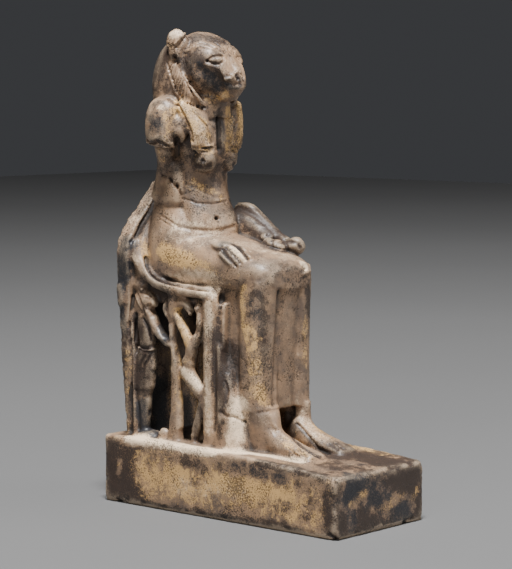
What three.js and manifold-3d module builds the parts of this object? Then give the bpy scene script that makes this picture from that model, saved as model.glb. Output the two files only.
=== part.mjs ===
// Seated lion-headed goddess on an openwork throne, in one piece with its plinth.
// Millimetres, +Z up. The figure faces -Y and its own right side is -X. The origin is the
// middle of the underside. Both upper arms end in breaks, as on the worn original.
import * as THREE from 'three';
import { mergeVertices } from 'three/addons/utils/BufferGeometryUtils.js';
import Module from 'manifold-3d';

// Plinth: its top falls away and its edges are worn round towards the front. Its underside
// is ground off, so that it stands flat.
const PLINTH_LENGTH = 77.6;
const PLINTH_WIDTH = 34.3;
const PLINTH_HEIGHT = 17.2;
const PLINTH_FALL = 2.6;
const PLINTH_FALL_POWER = 3.2;
const PLINTH_EDGE = 1.3;
const GROUND_OFF = 0.4;

// Throne: a low back with a gabled top, openwork sides and a solid seat, hollow below.
const THRONE_WIDTH = 26.8;
const THRONE_DEPTH = 33.4;
const THRONE_SETBACK = 2.3;
const SEAT_HEIGHT = 37.3;
const SEAT_THICKNESS = 3.4;
const BACK_THICKNESS = 4.6;
const BACK_LEAN = 2.4;
const BACK_SHOULDER_RISE = 10.4;
const BACK_PEAK_RISE = 27.4;
const BACK_FLARE = 1.3;
const RIM_THICKNESS = 2.5;
const SIDE_THICKNESS = 2.8;
const FRONT_POST_WIDTH = 4.3;
const MIDDLE_POST_WIDTH = 3.6;
const BACK_POST_WIDTH = 3.2;
const FRONT_WALL_HALF_WIDTH = 9.6;
const FRONT_WALL_THICKNESS = 3.6;

// Figure: the sitting height runs from the seat to the crown.
const SITTING_HEIGHT = 66.2;
const KNEE_OVERHANG = 13.4;
const LEG_SPREAD = 6.1;
const FOOT_LENGTH = 22;
const HEM_HEIGHT = 9.4;
const RUFF_LOCKS = 6;
const RUFF_GROOVE = 0.16;

// How far joined forms run into each other.
const OVERLAP = 1;

// Fineness of the faceted forms.
const WELD = 1e-4;
const ROUND_OFF = 1e-9;
const BODY_SIDES = 14;
const BLOCK_SIDES = 12;
const PLINTH_SIDES = 16;
const LIMB_SIDES = 8;
const SMALL_SIDES = 6;
const FRET_SIDES = 6;
const PLAIN_SIDES = 5;
const THIN_SIDES = 4;

const BACK = PLINTH_LENGTH / 2 - THRONE_SETBACK;
const BACK_FACE = BACK - BACK_THICKNESS;
const THRONE_FRONT = BACK - THRONE_DEPTH;
const SEAT = PLINTH_HEIGHT + SEAT_HEIGHT;
const SIDE = THRONE_WIDTH / 2;
const KNEE = THRONE_FRONT - KNEE_OVERHANG;

// The figure is drawn on a grid of 66.2 units from seat to crown, the openwork for a throne
// that is 33.4 deep and the hands for a lap of 46.8. All of them grow with the sizes above.
const GRID = SITTING_HEIGHT / 66.2;
const PATTERN = THRONE_DEPTH / 33.4;
const LAP_GRID = (THRONE_DEPTH + KNEE_OVERHANG) / 46.8;

const wasm = await Module();
wasm.setup();

/** Six times the volume that a list of triangles encloses, negative when they face in. */
function signedVolume(points, triangles) {
  const corner = [new THREE.Vector3(), new THREE.Vector3(), new THREE.Vector3()];
  let sum = 0;
  for (let i = 0; i < triangles.length; i += 3) {
    corner.forEach((vector, k) => vector.fromArray(points, 3 * triangles[i + k]));
    sum += corner[0].dot(corner[1].cross(corner[2]));
  }
  return sum;
}

/** Turns a closed geometry into a solid whose faces point out. */
function solidOf(geometry) {
  const bare = geometry.clone();
  bare.deleteAttribute('normal');
  bare.deleteAttribute('uv');
  const merged = mergeVertices(bare, WELD);
  const points = Float32Array.from(merged.attributes.position.array);
  const index = merged.index.array;
  const triangles = [];
  for (let i = 0; i < index.length; i += 3) {
    const [a, b, c] = index.slice(i, i + 3);
    if (a !== b && b !== c && c !== a) triangles.push(a, b, c);
  }
  if (signedVolume(points, triangles) < 0) triangles.reverse();
  const mesh = new wasm.Mesh({
    numProp: 3,
    vertProperties: points,
    triVerts: Uint32Array.from(triangles),
  });
  return new wasm.Manifold(mesh);
}

/** Joins a list of overlapping solids. */
function join(solids) {
  return solids.reduce((whole, next) => whole.add(next));
}

/** The same solid on the other side of the figure's middle plane. */
function mirrored(geometry) {
  const copy = geometry.clone();
  copy.scale(-1, 1, 1);
  return copy;
}

/** A power that keeps its base's sign, for superellipse outlines. */
function signedPower(base, exponent) {
  return Math.abs(base) < ROUND_OFF ? 0 : Math.sign(base) * Math.abs(base) ** exponent;
}

/**
 * A closed form through a row of oval sections. Each section is [centre, half sizes, power]:
 * power 2 is an ellipse and a higher one is squarer. `across` and `up` are the directions
 * of the two half sizes.
 */
function loft(sections, sides, across, up) {
  const rows = sections.length - 1;
  const geometry = new THREE.CylinderGeometry(1, 1, 1, sides, rows);
  const position = geometry.attributes.position;
  for (let i = 0; i < position.count; i += 1) {
    const [centre, half, power = 2] = sections[Math.round((0.5 - position.getY(i)) * rows)];
    const a = signedPower(position.getX(i), 2 / power) * half[0];
    const b = signedPower(position.getZ(i), 2 / power) * half[1];
    const point = new THREE.Vector3(...centre);
    point.addScaledVector(across, a).addScaledVector(up, b);
    position.setXYZ(i, point.x, point.y, point.z);
  }
  return geometry;
}

const X = new THREE.Vector3(1, 0, 0);
const Y = new THREE.Vector3(0, 1, 0);
const Z = new THREE.Vector3(0, 0, 1);

/**
 * A limb or bar along a smooth line. `sizes` are pairs of half sizes, along the line's side
 * direction and along `facing`, spread evenly from its start to its end.
 */
function limb(points, sizes, facing, rows = 6, sides = SMALL_SIDES, power = 2) {
  const curve = new THREE.CatmullRomCurve3(points.map((point) => new THREE.Vector3(...point)));
  const geometry = new THREE.CylinderGeometry(1, 1, 1, sides, rows);
  const position = geometry.attributes.position;
  for (let i = 0; i < position.count; i += 1) {
    const t = Math.round((0.5 - position.getY(i)) * rows) / rows;
    const along = curve.getTangent(t);
    const side = new THREE.Vector3().crossVectors(along, facing).normalize();
    const front = new THREE.Vector3().crossVectors(side, along).normalize();
    const place = t * (sizes.length - 1);
    const k = Math.min(Math.floor(place), sizes.length - 2);
    const half = sizes[k].map((value, n) => value + (sizes[k + 1][n] - value) * (place - k));
    const point = curve.getPoint(t);
    point.addScaledVector(side, signedPower(position.getX(i), 2 / power) * half[0]);
    point.addScaledVector(front, signedPower(position.getZ(i), 2 / power) * half[1]);
    position.setXYZ(i, point.x, point.y, point.z);
  }
  return geometry;
}

/** An ellipsoid, turned about X and then Z by angles in degrees. */
function oval(centre, radii, sides = LIMB_SIDES, turnX = 0, turnZ = 0) {
  const geometry = new THREE.SphereGeometry(1, sides, Math.round(sides * 0.7));
  geometry.rotateX(Math.PI / 2);
  geometry.scale(...radii);
  geometry.rotateX(THREE.MathUtils.degToRad(turnX));
  geometry.rotateZ(THREE.MathUtils.degToRad(turnZ));
  geometry.translate(...centre);
  return geometry;
}

/** Height of the plinth's worn top at a place along its length. */
function plinthTop(y) {
  const share = THREE.MathUtils.clamp(0.5 - y / PLINTH_LENGTH, 0, 1);
  return PLINTH_HEIGHT - PLINTH_FALL * share ** PLINTH_FALL_POWER;
}

/** The plinth: a block with a flat underside, drawn in at its ends by its worn edges. */
function plinth() {
  const ends = [[0, 1], [0.7, 0]];
  const rows = [0.5, 0.74, 0.9];
  const half = PLINTH_LENGTH / 2;
  const stations = [
    ...ends.map(([inward, drawn]) => [half - inward * PLINTH_EDGE, drawn]),
    ...rows.map((share) => [half - share * PLINTH_LENGTH, 0]),
    ...ends.toReversed().map(([inward, drawn]) => [inward * PLINTH_EDGE - half, drawn]),
  ];
  const sections = stations.map(([y, drawn]) => {
    const inset = drawn * PLINTH_EDGE * 0.3;
    const top = plinthTop(y) - inset;
    const size = [PLINTH_WIDTH / 2 - inset, (top + GROUND_OFF) / 2];
    return [[0, y, (top - GROUND_OFF) / 2], size, 20];
  });
  return solidOf(loft(sections, PLINTH_SIDES, X, Z)).trimByPlane(Z.toArray(), 0);
}

/** Rear face of the throne at a height: it leans back from the plinth up to the seat. */
function backAt(z) {
  const share = THREE.MathUtils.clamp((z - PLINTH_HEIGHT) / SEAT_HEIGHT, 0, 1);
  return BACK - BACK_LEAN * (1 - Math.sin(share * Math.PI / 2));
}

/** The throne's back: a slab that widens to its shoulders, a gable and two lumps of old damage. */
function throneBack() {
  const rise = BACK_PEAK_RISE - BACK_SHOULDER_RISE;
  const shoulder = SEAT + BACK_SHOULDER_RISE;
  const outline = [
    [plinthTop(BACK) - OVERLAP, SIDE],
    [PLINTH_HEIGHT + SEAT_HEIGHT * 0.5, SIDE],
    [SEAT, SIDE + BACK_FLARE * 0.4],
    [shoulder, SIDE + BACK_FLARE],
    [shoulder + rise * 0.2, SIDE],
    [shoulder + rise * 0.43, SIDE * 0.79],
    [shoulder + rise * 0.6, SIDE * 0.55],
    [shoulder + rise * 0.87, SIDE * 0.19],
    [shoulder + rise, SIDE * 0.06],
  ];
  const sections = outline.map(([z, half]) => {
    const rear = backAt(z);
    return [[0, rear - BACK_THICKNESS / 2, z], [half, BACK_THICKNESS / 2], 9];
  });
  const slab = loft(sections, BLOCK_SIDES, X, Y);
  const shares = [1.0, 0.96, 0.74, 0.56, 0.43, 0.26, 0.13];
  const lining = loft(outline.slice(2).map(([z, half], row) => {
    const depth = BACK_THICKNESS * shares[row];
    const middle = [0, BACK_FACE - depth / 2 + OVERLAP, z - RIM_THICKNESS / 2];
    return [middle, [half * 0.9, depth / 2 + OVERLAP], 3.5];
  }), BLOCK_SIDES, X, Y);
  const lumpAt = (inward, share) => (
    [-SIDE, BACK - BACK_THICKNESS * inward, PLINTH_HEIGHT + SEAT_HEIGHT * share]
  );
  const lumps = [
    oval(lumpAt(0.33, 0.97), [1.7, 1.9, 4.6], PLAIN_SIDES),
    oval(lumpAt(0.52, 0.6), [0.9, 1.6, 3.4], PLAIN_SIDES),
  ];
  return join([slab, lining, ...lumps].map(solidOf));
}

/** A place in the openwork side: shares of the throne's depth and of the seat's height. */
function inSide(depthShare, heightShare, inward = SIDE_THICKNESS / 2) {
  return [
    -SIDE + inward,
    THRONE_FRONT + depthShare * THRONE_DEPTH,
    PLINTH_HEIGHT + heightShare * SEAT_HEIGHT,
  ];
}

/** A rounded bar along the side's top, from the throne's front and up its back. */
function sideRim(rows) {
  const half = RIM_THICKNESS / 2;
  const deep = SIDE_THICKNESS * 0.6;
  const run = BACK_FACE - THRONE_FRONT;
  const line = [
    [0.08, 0.0], [0.3, 0.01], [0.55, 0.06], [0.72, 0.17], [0.86, 0.42], [0.97, 0.83], [1.04, 1.25],
  ].map(([share, climb]) => [
    SIDE_THICKNESS * 0.46 - SIDE,
    THRONE_FRONT + share * run,
    SEAT + climb * BACK_SHOULDER_RISE + half * 0.52,
  ]);
  const sizes = [[1, 1], [1, 1.06], [1.1, 1.12], [1.4, 1.2], [1, 1]].map(([high, thick]) => (
    [half * high, deep * thick]
  ));
  return limb(line, sizes, X, rows, FRET_SIDES, 2.6);
}

/** A bar or limb of the openwork, given by its places and its half widths in the side. */
function fret(places, widths, options = {}) {
  const { thickness = SIDE_THICKNESS, rows = 3, sides = FRET_SIDES, growth = PATTERN } = options;
  const points = places.map(([depth, height, inward]) => inSide(depth, height, inward));
  const sizes = widths.map((half) => [half * growth, thickness / 2]);
  return limb(points, sizes, X, rows, sides);
}

/** A rounded lump of the openwork: its half thickness, its half sizes in the side and its turn. */
function knob(centre, thick, deep, high, turn = 0) {
  return oval(centre, [thick, deep * PATTERN, high * PATTERN], PLAIN_SIDES, turn);
}

/** The uprights that carry the side rim, and the solid corner behind the standing figure. */
function posts(sides) {
  const front = FRONT_POST_WIDTH / 2;
  const middle = MIDDLE_POST_WIDTH / 2;
  const back = BACK_POST_WIDTH / 2;
  const tapered = [1.25, 1.1, 0.85, 0.85, 0.4, 0.42, 0.6, 0.9].map((share) => middle * share);
  return [
    fret([[0.085, -0.05], [0.085, 0.5], [0.085, 1.02]], [front, front * 0.95, front * 1.05],
      { rows: 2, sides, growth: 1 }),
    fret([[0.445, -0.05], [0.43, 0.25], [0.435, 0.54], [0.465, 0.7], [0.46, 1.02]], tapered,
      { rows: 5, sides, growth: 1 }),
    fret([[0.885, -0.05], [0.9, 0.5], [0.935, 0.8], [0.96, 1.1]], [back, back * 0.9, back],
      { rows: 3, sides, growth: 1 }),
    fret([[0.95, 1.13], [0.87, 1.06], [0.79, 1.03]], [2.4, 2.2, 1.0],
      { thickness: SIDE_THICKNESS * 0.9, sides }),
  ];
}

/** The standing figure with an animal's head, a long wig, a belt and a kilt. */
function standingFigure(plain) {
  const sides = plain ? PLAIN_SIDES : FRET_SIDES;
  const flat = { thickness: SIDE_THICKNESS * 0.85, rows: 2, sides };
  const parts = [
    fret([[0.77, 0.87], [0.75, 0.76], [0.735, 0.6]], [3.3, 2.7, 2.3], { sides }),
    fret([[0.735, 0.62], [0.757, 0.47], [0.775, 0.3]], [2.5, 3.5, 3.4],
      { thickness: SIDE_THICKNESS * 1.1, sides }),
    fret([[0.775, 0.34], [0.785, 0.2], [0.81, 0.0]], [2.8, 2.4, 2.5], { rows: 3, sides }),
    fret([[0.7, 0.85], [0.64, 0.75], [0.53, 0.665], [0.43, 0.65]], [1.35, 1.2, 1.05, 0.95],
      { thickness: SIDE_THICKNESS * 1.1, rows: 4, sides: PLAIN_SIDES }),
    fret([[0.865, 0.86], [0.885, 0.74], [0.875, 0.56]], [1.1, 1.0, 0.9],
      { ...flat, sides: PLAIN_SIDES }),
    knob(inSide(0.725, 0.935), SIDE_THICKNESS * 0.55, 2.5, 2.3, 10),
    fret([[0.7, 0.935], [0.635, 0.915]], [1.5, 0.9], flat),
    fret([[0.745, 0.98], [0.78, 0.9], [0.79, 0.84]], [1.6, 2.4, 2.2], flat),
  ];
  if (plain) return parts;
  const proud = { thickness: SIDE_THICKNESS * 1.3, rows: 3, sides: PLAIN_SIDES };
  return [
    ...parts,
    fret([[0.66, 0.61], [0.72, 0.585], [0.815, 0.61]], [0.5, 0.55, 0.5], proud),
    fret([[0.735, 0.9], [0.705, 0.86], [0.69, 0.81]], [0.6, 0.8, 0.5], proud),
    fret([[0.77, 0.98], [0.785, 1.03]], [0.9, 0.7], flat),
  ];
}

/** The bent figure with raised arms, between the middle post and the front post. */
function bentFigure(plain) {
  const sides = plain ? PLAIN_SIDES : FRET_SIDES;
  const thin = { thickness: SIDE_THICKNESS * 0.8, rows: 2, sides: PLAIN_SIDES };
  const parts = [
    fret([[0.44, 0.87], [0.36, 0.77], [0.28, 0.65]], [1.1, 1.3, 1.6], { rows: 3, sides }),
    fret([[0.185, 0.9], [0.195, 0.77], [0.26, 0.65]], [0.8, 0.85, 1.4], { ...thin, rows: 3 }),
    fret([[0.27, 0.7], [0.285, 0.59], [0.325, 0.5]], [1.8, 1.5, 2.2], { rows: 3, sides }),
    fret([[0.33, 0.53], [0.31, 0.46], [0.23, 0.385], [0.155, 0.315]], [1.9, 2.3, 1.9, 1.3],
      { rows: 4, sides }),
    fret([[0.15, 0.36], [0.18, 0.22], [0.26, 0.0]], [1.3, 1.05, 1.3], { ...thin, rows: 3 }),
    fret([[0.46, 0.8], [0.43, 0.9], [0.37, 0.94], [0.31, 0.92], [0.275, 0.86]],
      [1.0, 1.3, 1.4, 1.2, 0.7], { ...thin, rows: 4 }),
    fret([[0.39, 0.93], [0.4, 1.0]], [1.6, 2.0], { ...thin, thickness: SIDE_THICKNESS * 0.57 }),
    knob(inSide(0.2, 0.915), SIDE_THICKNESS * 0.5, 1.15, 1.5),
  ];
  if (plain) return parts;
  return [...parts, fret([[0.51, 0.96], [0.535, 0.88], [0.5, 0.81]], [1.2, 0.9, 0.4], thin)];
}

/** One openwork side. The hidden one is plainer. */
function openworkSide(plain) {
  const sides = plain ? PLAIN_SIDES : FRET_SIDES;
  const parts = [sideRim(plain ? 4 : 7), ...posts(sides), ...standingFigure(plain), ...bentFigure(plain)];
  if (plain) return parts;
  return [
    ...parts,
    knob(inSide(0.74, 0.0, SIDE_THICKNESS * 0.57), SIDE_THICKNESS * 1.14, 5.0, 1.7),
    knob(inSide(0.55, 0.02, SIDE_THICKNESS * 0.29), SIDE_THICKNESS * 0.43, 1.8, 2.0),
  ];
}

/** The seat's block, set in between the two rims and reaching up into the thighs. */
function seatBlock() {
  const half = [SIDE - SIDE_THICKNESS * 0.86, SEAT_THICKNESS / 2 + 2.2 * GRID];
  const middle = SEAT - SEAT_THICKNESS + half[1];
  const sections = [
    [[0, BACK_FACE + OVERLAP, middle], half, 8],
    [[0, THRONE_FRONT + OVERLAP / 2, middle], half, 8],
  ];
  return solidOf(loft(sections, BLOCK_SIDES, X, Z));
}

/**
 * The wall that joins the legs to the throne's front: wide where it meets the front posts,
 * narrower behind the legs, with a worn mass at its foot.
 */
function frontWall() {
  const low = plinthTop(THRONE_FRONT) - OVERLAP;
  const reach = 5 * GRID;
  const high = SEAT + 3 * GRID;
  const neck = THRONE_FRONT + FRONT_WALL_THICKNESS / 2 - reach / 2;
  const neckDepth = (FRONT_WALL_THICKNESS + reach) / 2;
  const wall = loft([
    [[0, neck, low], [FRONT_WALL_HALF_WIDTH, neckDepth], 6],
    [[0, neck, high], [FRONT_WALL_HALF_WIDTH, neckDepth], 6],
  ], BLOCK_SIDES, X, Y);
  const panel = THRONE_FRONT + FRONT_POST_WIDTH * 0.6;
  const web = loft([
    [[0, panel, low], [SIDE - SIDE_THICKNESS / 2, FRONT_WALL_THICKNESS / 2], 6],
    [[0, panel, SEAT], [SIDE - SIDE_THICKNESS / 2, FRONT_WALL_THICKNESS / 2], 6],
  ], BLOCK_SIDES, X, Y);
  const foot = loft([
    [0.67, 2.8, 0, 4.6, 6.3, 2.4], [0.69, 2.2, 0.136, 3.9, 5.0, 2.6], [0.69, 1.6, 0.317, 3.5, 4.0, 2.6],
    [0.67, 0.8, 0.486, 3.0, 2.8, 2.6], [0.66, -0.6, 0.66, 2.4, 1.6, 2],
  ].map(([out, ahead, climb, half, deep, power]) => [
    [-SIDE * out, THRONE_FRONT - ahead * GRID, low + climb * (SEAT - low)],
    [half * GRID, deep * GRID],
    power,
  ]), SMALL_SIDES, X, Y);
  return join([wall, web, foot, mirrored(foot)].map(solidOf));
}

/** A place on the drawn figure: across, forward of the throne's back and up from the seat. */
function body(across, forward, up) {
  return [across, -forward, up];
}

/** A place over the lap, which is as long as the throne and the overhang of the knees. */
function overLap(across, forward, up) {
  return body(across, forward * LAP_GRID / GRID, up);
}

/** A level section of the drawn figure, with its half width and half depth. */
function level(across, forward, up, halfWidth, halfDepth, power = 2) {
  return [body(across, forward, up), [halfWidth, halfDepth], power];
}

/** A solid of the drawn figure at its real size, sitting on the seat against the back. */
function seated(geometry) {
  return solidOf(geometry.clone().scale(GRID, GRID, GRID).translate(0, BACK_FACE, SEAT));
}

/** Hips, thighs and lap under a tight dress, from the throne's back to the knees. */
function lap() {
  const hip = BACK_FACE - 0.4 * GRID;
  const rows = [
    [0.0, 10.5, 9.5], [0.12, 14.0, 11.6], [0.3, 15.6, 12.3], [0.55, 13.9, 12.1],
    [0.76, 11.6, 11.4], [0.9, 10.2, 10.3], [0.97, 8.8, 9.0], [1.0, 7.2, 7.2],
  ];
  const tuck = 0.85;
  const sections = rows.map(([share, top, half]) => {
    const bottom = share < tuck ? 0.2 : 0.2 + (share - tuck) * 12;
    const height = (top - bottom) / 2;
    const y = hip + (KNEE - hip) * share;
    return [[0, y, SEAT + (bottom + height) * GRID], [half * GRID, height * GRID], 2.7];
  });
  const thighs = loft(sections, BODY_SIDES, X, Z);
  const hips = loft([
    level(0, 9.6, 4, 12.4, 10.2, 2.6),
    level(0, 9.4, 11.5, 12.2, 9.8, 2.6),
    level(0, 8.6, 17.5, 11.0, 8.6, 2.5),
    level(0, 7.2, 22.5, 9.2, 7.2, 2.4),
    level(0, 5.6, 29, 6.2, 5.4, 2.4),
  ], BODY_SIDES, X, Y);
  return solidOf(thighs).add(seated(hips));
}

/** The lower legs, wrapped together by the dress down to its hem, with the ankles below. */
function legs() {
  const axis = KNEE + 5.6 * GRID;
  const hem = PLINTH_HEIGHT + HEM_HEIGHT;
  const ankle = PLINTH_HEIGHT + 4 * GRID;
  const ground = plinthTop(axis) - OVERLAP / 2;
  const knee = SEAT + 4 * GRID;
  const section = (x, back, z, half, deep, power = 2) => (
    [[x, axis + back * GRID, z], [half * GRID, deep * GRID], power]
  );
  const near = -LEG_SPREAD;
  const far = LEG_SPREAD + 0.8 * GRID;
  const leg = loft([
    section(near, 0, hem, 4.5, 4.9, 2.2),
    section(near, 0, hem + (knee - hem) * 0.45, 4.5, 4.8, 2.2),
    section(near + 0.2 * GRID, 0, knee, 4.6, 5.5, 2.3),
  ], BLOCK_SIDES, X, Y);
  const nearAnkle = loft([
    section(near, -0.8, ground, 3.6, 7.0, 2.2),
    section(near, -0.8, ankle, 3.7, 6.0, 2.2),
    section(near, -0.3, hem + OVERLAP, 4.3, 5.1, 2.2),
  ], LIMB_SIDES, X, Y);
  const farAnkle = loft([
    section(far, -3.6, ground, 2.4, 3.4),
    section(far, -3.8, ankle, 2.1, 2.0),
    section(far, -3.6, hem + OVERLAP, 2.1, 1.8),
  ], SMALL_SIDES, X, Y);
  const heel = loft([
    section(far, 2, ground, 3.9, 4.6, 3),
    section(far, 2, hem + OVERLAP, 2.9, 3.4, 3),
  ], SMALL_SIDES, X, Y);
  const between = loft([
    section(0, -0.4, hem, LEG_SPREAD / GRID, 3.7),
    section(0, -0.3, knee, LEG_SPREAD / GRID + 0.5, 4.9, 2.6),
  ], LIMB_SIDES, X, Y);
  return join([leg, mirrored(leg), nearAnkle, farAnkle, heel, between].map(solidOf));
}

/** A bare foot, flat on the plinth. */
function foot() {
  const heel = KNEE + 7.8 * GRID;
  const rows = [
    [0.1, 6.2, 2.8], [0.3, 7.4, 2.9], [0.42, 5.3, 3.0], [0.56, 4.0, 3.2],
    [0.74, 2.8, 3.4], [0.94, 1.6, 3.6], [1.0, 0.7, 2.9],
  ];
  const sections = rows.map(([share, rise, half]) => {
    const y = heel - share * FOOT_LENGTH;
    const bottom = plinthTop(y) - OVERLAP;
    const height = (rise * GRID + OVERLAP) / 2;
    return [[-LEG_SPREAD, y, bottom + height], [half * GRID, height], 2.4];
  });
  return solidOf(loft(sections, SMALL_SIDES, X, Z));
}

/** Waist, ribs and shoulders, with the breasts and a slim pillar at the back. */
function torso() {
  const trunk = loft([
    level(0, 14.0, 8, 9.6, 7.0),
    level(0, 14.9, 15, 8.8, 6.2),
    level(0, 14.6, 19, 8.2, 5.6),
    level(0, 13.1, 23, 7.6, 5.2),
    level(0, 12.6, 29, 7.2, 4.9),
    level(0, 13.6, 37, 8.6, 5.6),
    level(0, 12.9, 43, 9.8, 5.6),
    level(0, 11.8, 47, 9.0, 5.2),
    level(0, 11.2, 50, 6.4, 5.4),
  ], BODY_SIDES, X, Y);
  const breast = oval(body(-3.9, 16.9, 33.4), [3.0, 3.0, 3.2], SMALL_SIDES);
  const pillar = loft([
    level(0, 4.2, 20, 4.0, 4.6, 4),
    level(0, 5.2, 32, 3.0, 4.6, 4),
    level(0, 6.0, 48, 4.2, 5.0, 4),
  ], SMALL_SIDES, X, Y);
  return [trunk, breast, mirrored(breast), pillar];
}

/** An upper arm, broken off at the elbow, with the web of stone left below the break. */
function brokenArm() {
  const slant = new THREE.Vector3(0, 1, 0.16);
  const arm = loft([
    level(-12.0, 9.3, 37.0, 3.2, 4.4),
    level(-12.1, 9.2, 41.5, 3.3, 4.5),
    level(-11.6, 9.4, 45.6, 3.2, 4.4),
    level(-10.7, 9.8, 48.2, 2.7, 3.4),
    level(-9.8, 10.2, 49.4, 1.4, 1.6),
  ], LIMB_SIDES, X, slant);
  const inner = oval(body(-10.3, 12.0, 41.4), [2.9, 4.3, 4.4], PLAIN_SIDES, -10);
  const web = limb([
    body(-10.9, 9.2, 38.5), body(-9.2, 8.0, 33), body(-8.2, 6.4, 28), body(-7.4, 4.2, 22),
  ], [[2.6, 3.3], [1.9, 2.3], [2.0, 2.4], [2.4, 3.0]], Y, 4, PLAIN_SIDES);
  const fill = limb([
    body(-7.2, 9.4, 31), body(-7.4, 9.2, 27), body(-7.6, 8.4, 21),
  ], [[1.6, 2.4], [2.4, 3.4], [2.6, 4.4]], Y, 2, PLAIN_SIDES);
  return [arm, inner, web, fill];
}

/** The forearm's remnant and the closed hand on the far thigh. */
function farHand() {
  const ridge = loft([
    [overLap(10.4, 15.2, 16.9), [1.8, 5.2], 3.2],
    [overLap(10.5, 19.6, 16.4), [1.8, 5.4], 3.2],
    [overLap(10.3, 24.6, 14.4), [1.8, 4.2], 3.0],
    [overLap(9.8, 29.8, 12.3), [1.8, 2.8], 2.6],
    [overLap(9.2, 33.2, 11.8), [1.9, 2.1], 2.2],
  ], SMALL_SIDES, X, Z);
  const slope = loft([
    [overLap(7.6, 15.5, 14.6), [3.2, 4.6]],
    [overLap(7.9, 29.5, 11.4), [2.2, 2.4]],
  ], PLAIN_SIDES, X, Z);
  const fist = oval(overLap(8.7, 36.2, 11.9), [2.3, 2.5, 2.3], SMALL_SIDES);
  const roll = limb([
    overLap(6.2, 33.2, 11.4), overLap(8.2, 37.8, 12.2),
  ], [[1.1, 1.1], [1.5, 1.5]], Z, 1, PLAIN_SIDES);
  const thumb = oval(overLap(5.4, 31.8, 11.8), [2.1, 3.6, 1.8], PLAIN_SIDES, 0, 12);
  return [ridge, slope, fist, roll, thumb];
}

/** The near hand, flat on the outer slope of its thigh, with four fingers that slant outwards. */
function nearHand() {
  const palm = oval(overLap(-7.7, 26.8, 12.2), [2.7, 3.4, 1.4], SMALL_SIDES, 6, 16);
  const fingers = [
    [overLap(-5.8, 29.6, 12.2), overLap(-7.2, 33.0, 11.2), overLap(-8.6, 36.2, 9.7)],
    [overLap(-7.2, 28.9, 12.1), overLap(-8.5, 32.1, 10.8), overLap(-9.5, 35.1, 9.2)],
    [overLap(-8.7, 28.1, 11.5), overLap(-9.8, 31.1, 10.1), overLap(-10.4, 34.0, 8.5)],
    [overLap(-10.2, 27.4, 10.8), overLap(-10.9, 30.2, 9.4), overLap(-11.2, 32.8, 7.8)],
  ].map((line) => limb(line, [[0.7, 0.7], [0.65, 0.65], [0.5, 0.5]], Z, 2, THIN_SIDES));
  return [palm, ...fingers];
}

/** The lion's skull, cheeks and muzzle, with raised brows and eyes. */
function head() {
  const rows = [
    [7, 56.1, 6.8, 8.0], [12, 56.2, 8.2, 9.6], [16, 55.9, 8.0, 8.6], [18.2, 55.5, 7.3, 7.5],
    [20.2, 55.0, 6.4, 6.6], [22.0, 54.0, 4.8, 5.3], [23.8, 52.9, 3.8, 3.8], [25.4, 52.7, 2.6, 2.2],
  ];
  const sections = rows.map(([forward, up, half, height]) => (
    [body(0, forward, up), [half, height], 2.2]
  ));
  const skull = loft(sections, BODY_SIDES, X, Z);
  const brow = limb([
    body(-7.0, 16.8, 59.6), body(-4.8, 19.6, 60.4), body(-1.6, 20.9, 59.4),
  ], [[0.5, 0.5], [0.6, 0.6], [0.5, 0.5]], Z, 2, PLAIN_SIDES);
  const eye = oval(body(-5.1, 20.2, 58.0), [2.0, 0.7, 0.7], PLAIN_SIDES, 0, -52);
  const bridge = limb([
    body(0, 20.9, 59.4), body(0, 23.2, 56.4), body(0, 25.4, 53.8),
  ], [[1.7, 1.4], [1.4, 1.2], [1.5, 1.1]], Y, 2, PLAIN_SIDES);
  const chin = oval(body(0, 20.8, 49.9), [3.2, 2.9, 2.1], PLAIN_SIDES);
  const neck = loft([
    level(0, 14.8, 44, 6.6, 4.4),
    level(0, 15.2, 49.4, 5.2, 4.6),
  ], SMALL_SIDES, X, Y);
  return [skull, brow, mirrored(brow), eye, mirrored(eye), bridge, chin, neck];
}

/** The near ear stands clear of the crown. The far one is worn down to a stump. */
function ears() {
  const near = oval(body(-7.6, 10.8, 62.6), [1.9, 3.0, 3.8], SMALL_SIDES, -12, 14);
  const lobe = oval(body(-8.3, 10.8, 60.0), [1.3, 2.1, 2.6], PLAIN_SIDES);
  const far = oval(body(7.2, 11.4, 60.6), [1.8, 2.9, 3.0], PLAIN_SIDES);
  return [near, lobe, far];
}

/** The smooth wig, falling to the shoulders behind the face. */
function wig() {
  return loft([
    level(0, 8.4, 43.5, 9.8, 7.6, 2.2),
    level(0, 8.2, 49, 10.2, 8.5, 2.2),
    level(0, 8.2, 54, 10.0, 8.8, 2.2),
    level(0, 9.2, 59, 8.9, 8.9, 2.2),
    level(0, 10.0, 62.6, 7.1, 7.2, 2.2),
    level(0, 10.6, 64.7, 4.4, 4.6, 2.2),
  ], BODY_SIDES, X, Y);
}

/** A band of short fur locks that frames one side of the face, with a groove between locks. */
function ruff() {
  const line = [
    body(-8.8, 10.6, 58.0), body(-9.2, 12.4, 53.4), body(-8.2, 15.2, 49.4), body(-5.6, 18.0, 46.6),
  ];
  const steps = 2 * RUFF_LOCKS;
  const sizes = Array.from({ length: steps + 1 }, (_, step) => {
    const swell = Math.sin(Math.PI * (0.14 + 0.72 * (step / steps)));
    const groove = step % 2 === 0 ? 1 - RUFF_GROOVE : 1;
    return [2.7 * swell * groove, 1.5 * swell * groove];
  });
  return limb(line, sizes, X, steps, FRET_SIDES);
}

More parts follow.
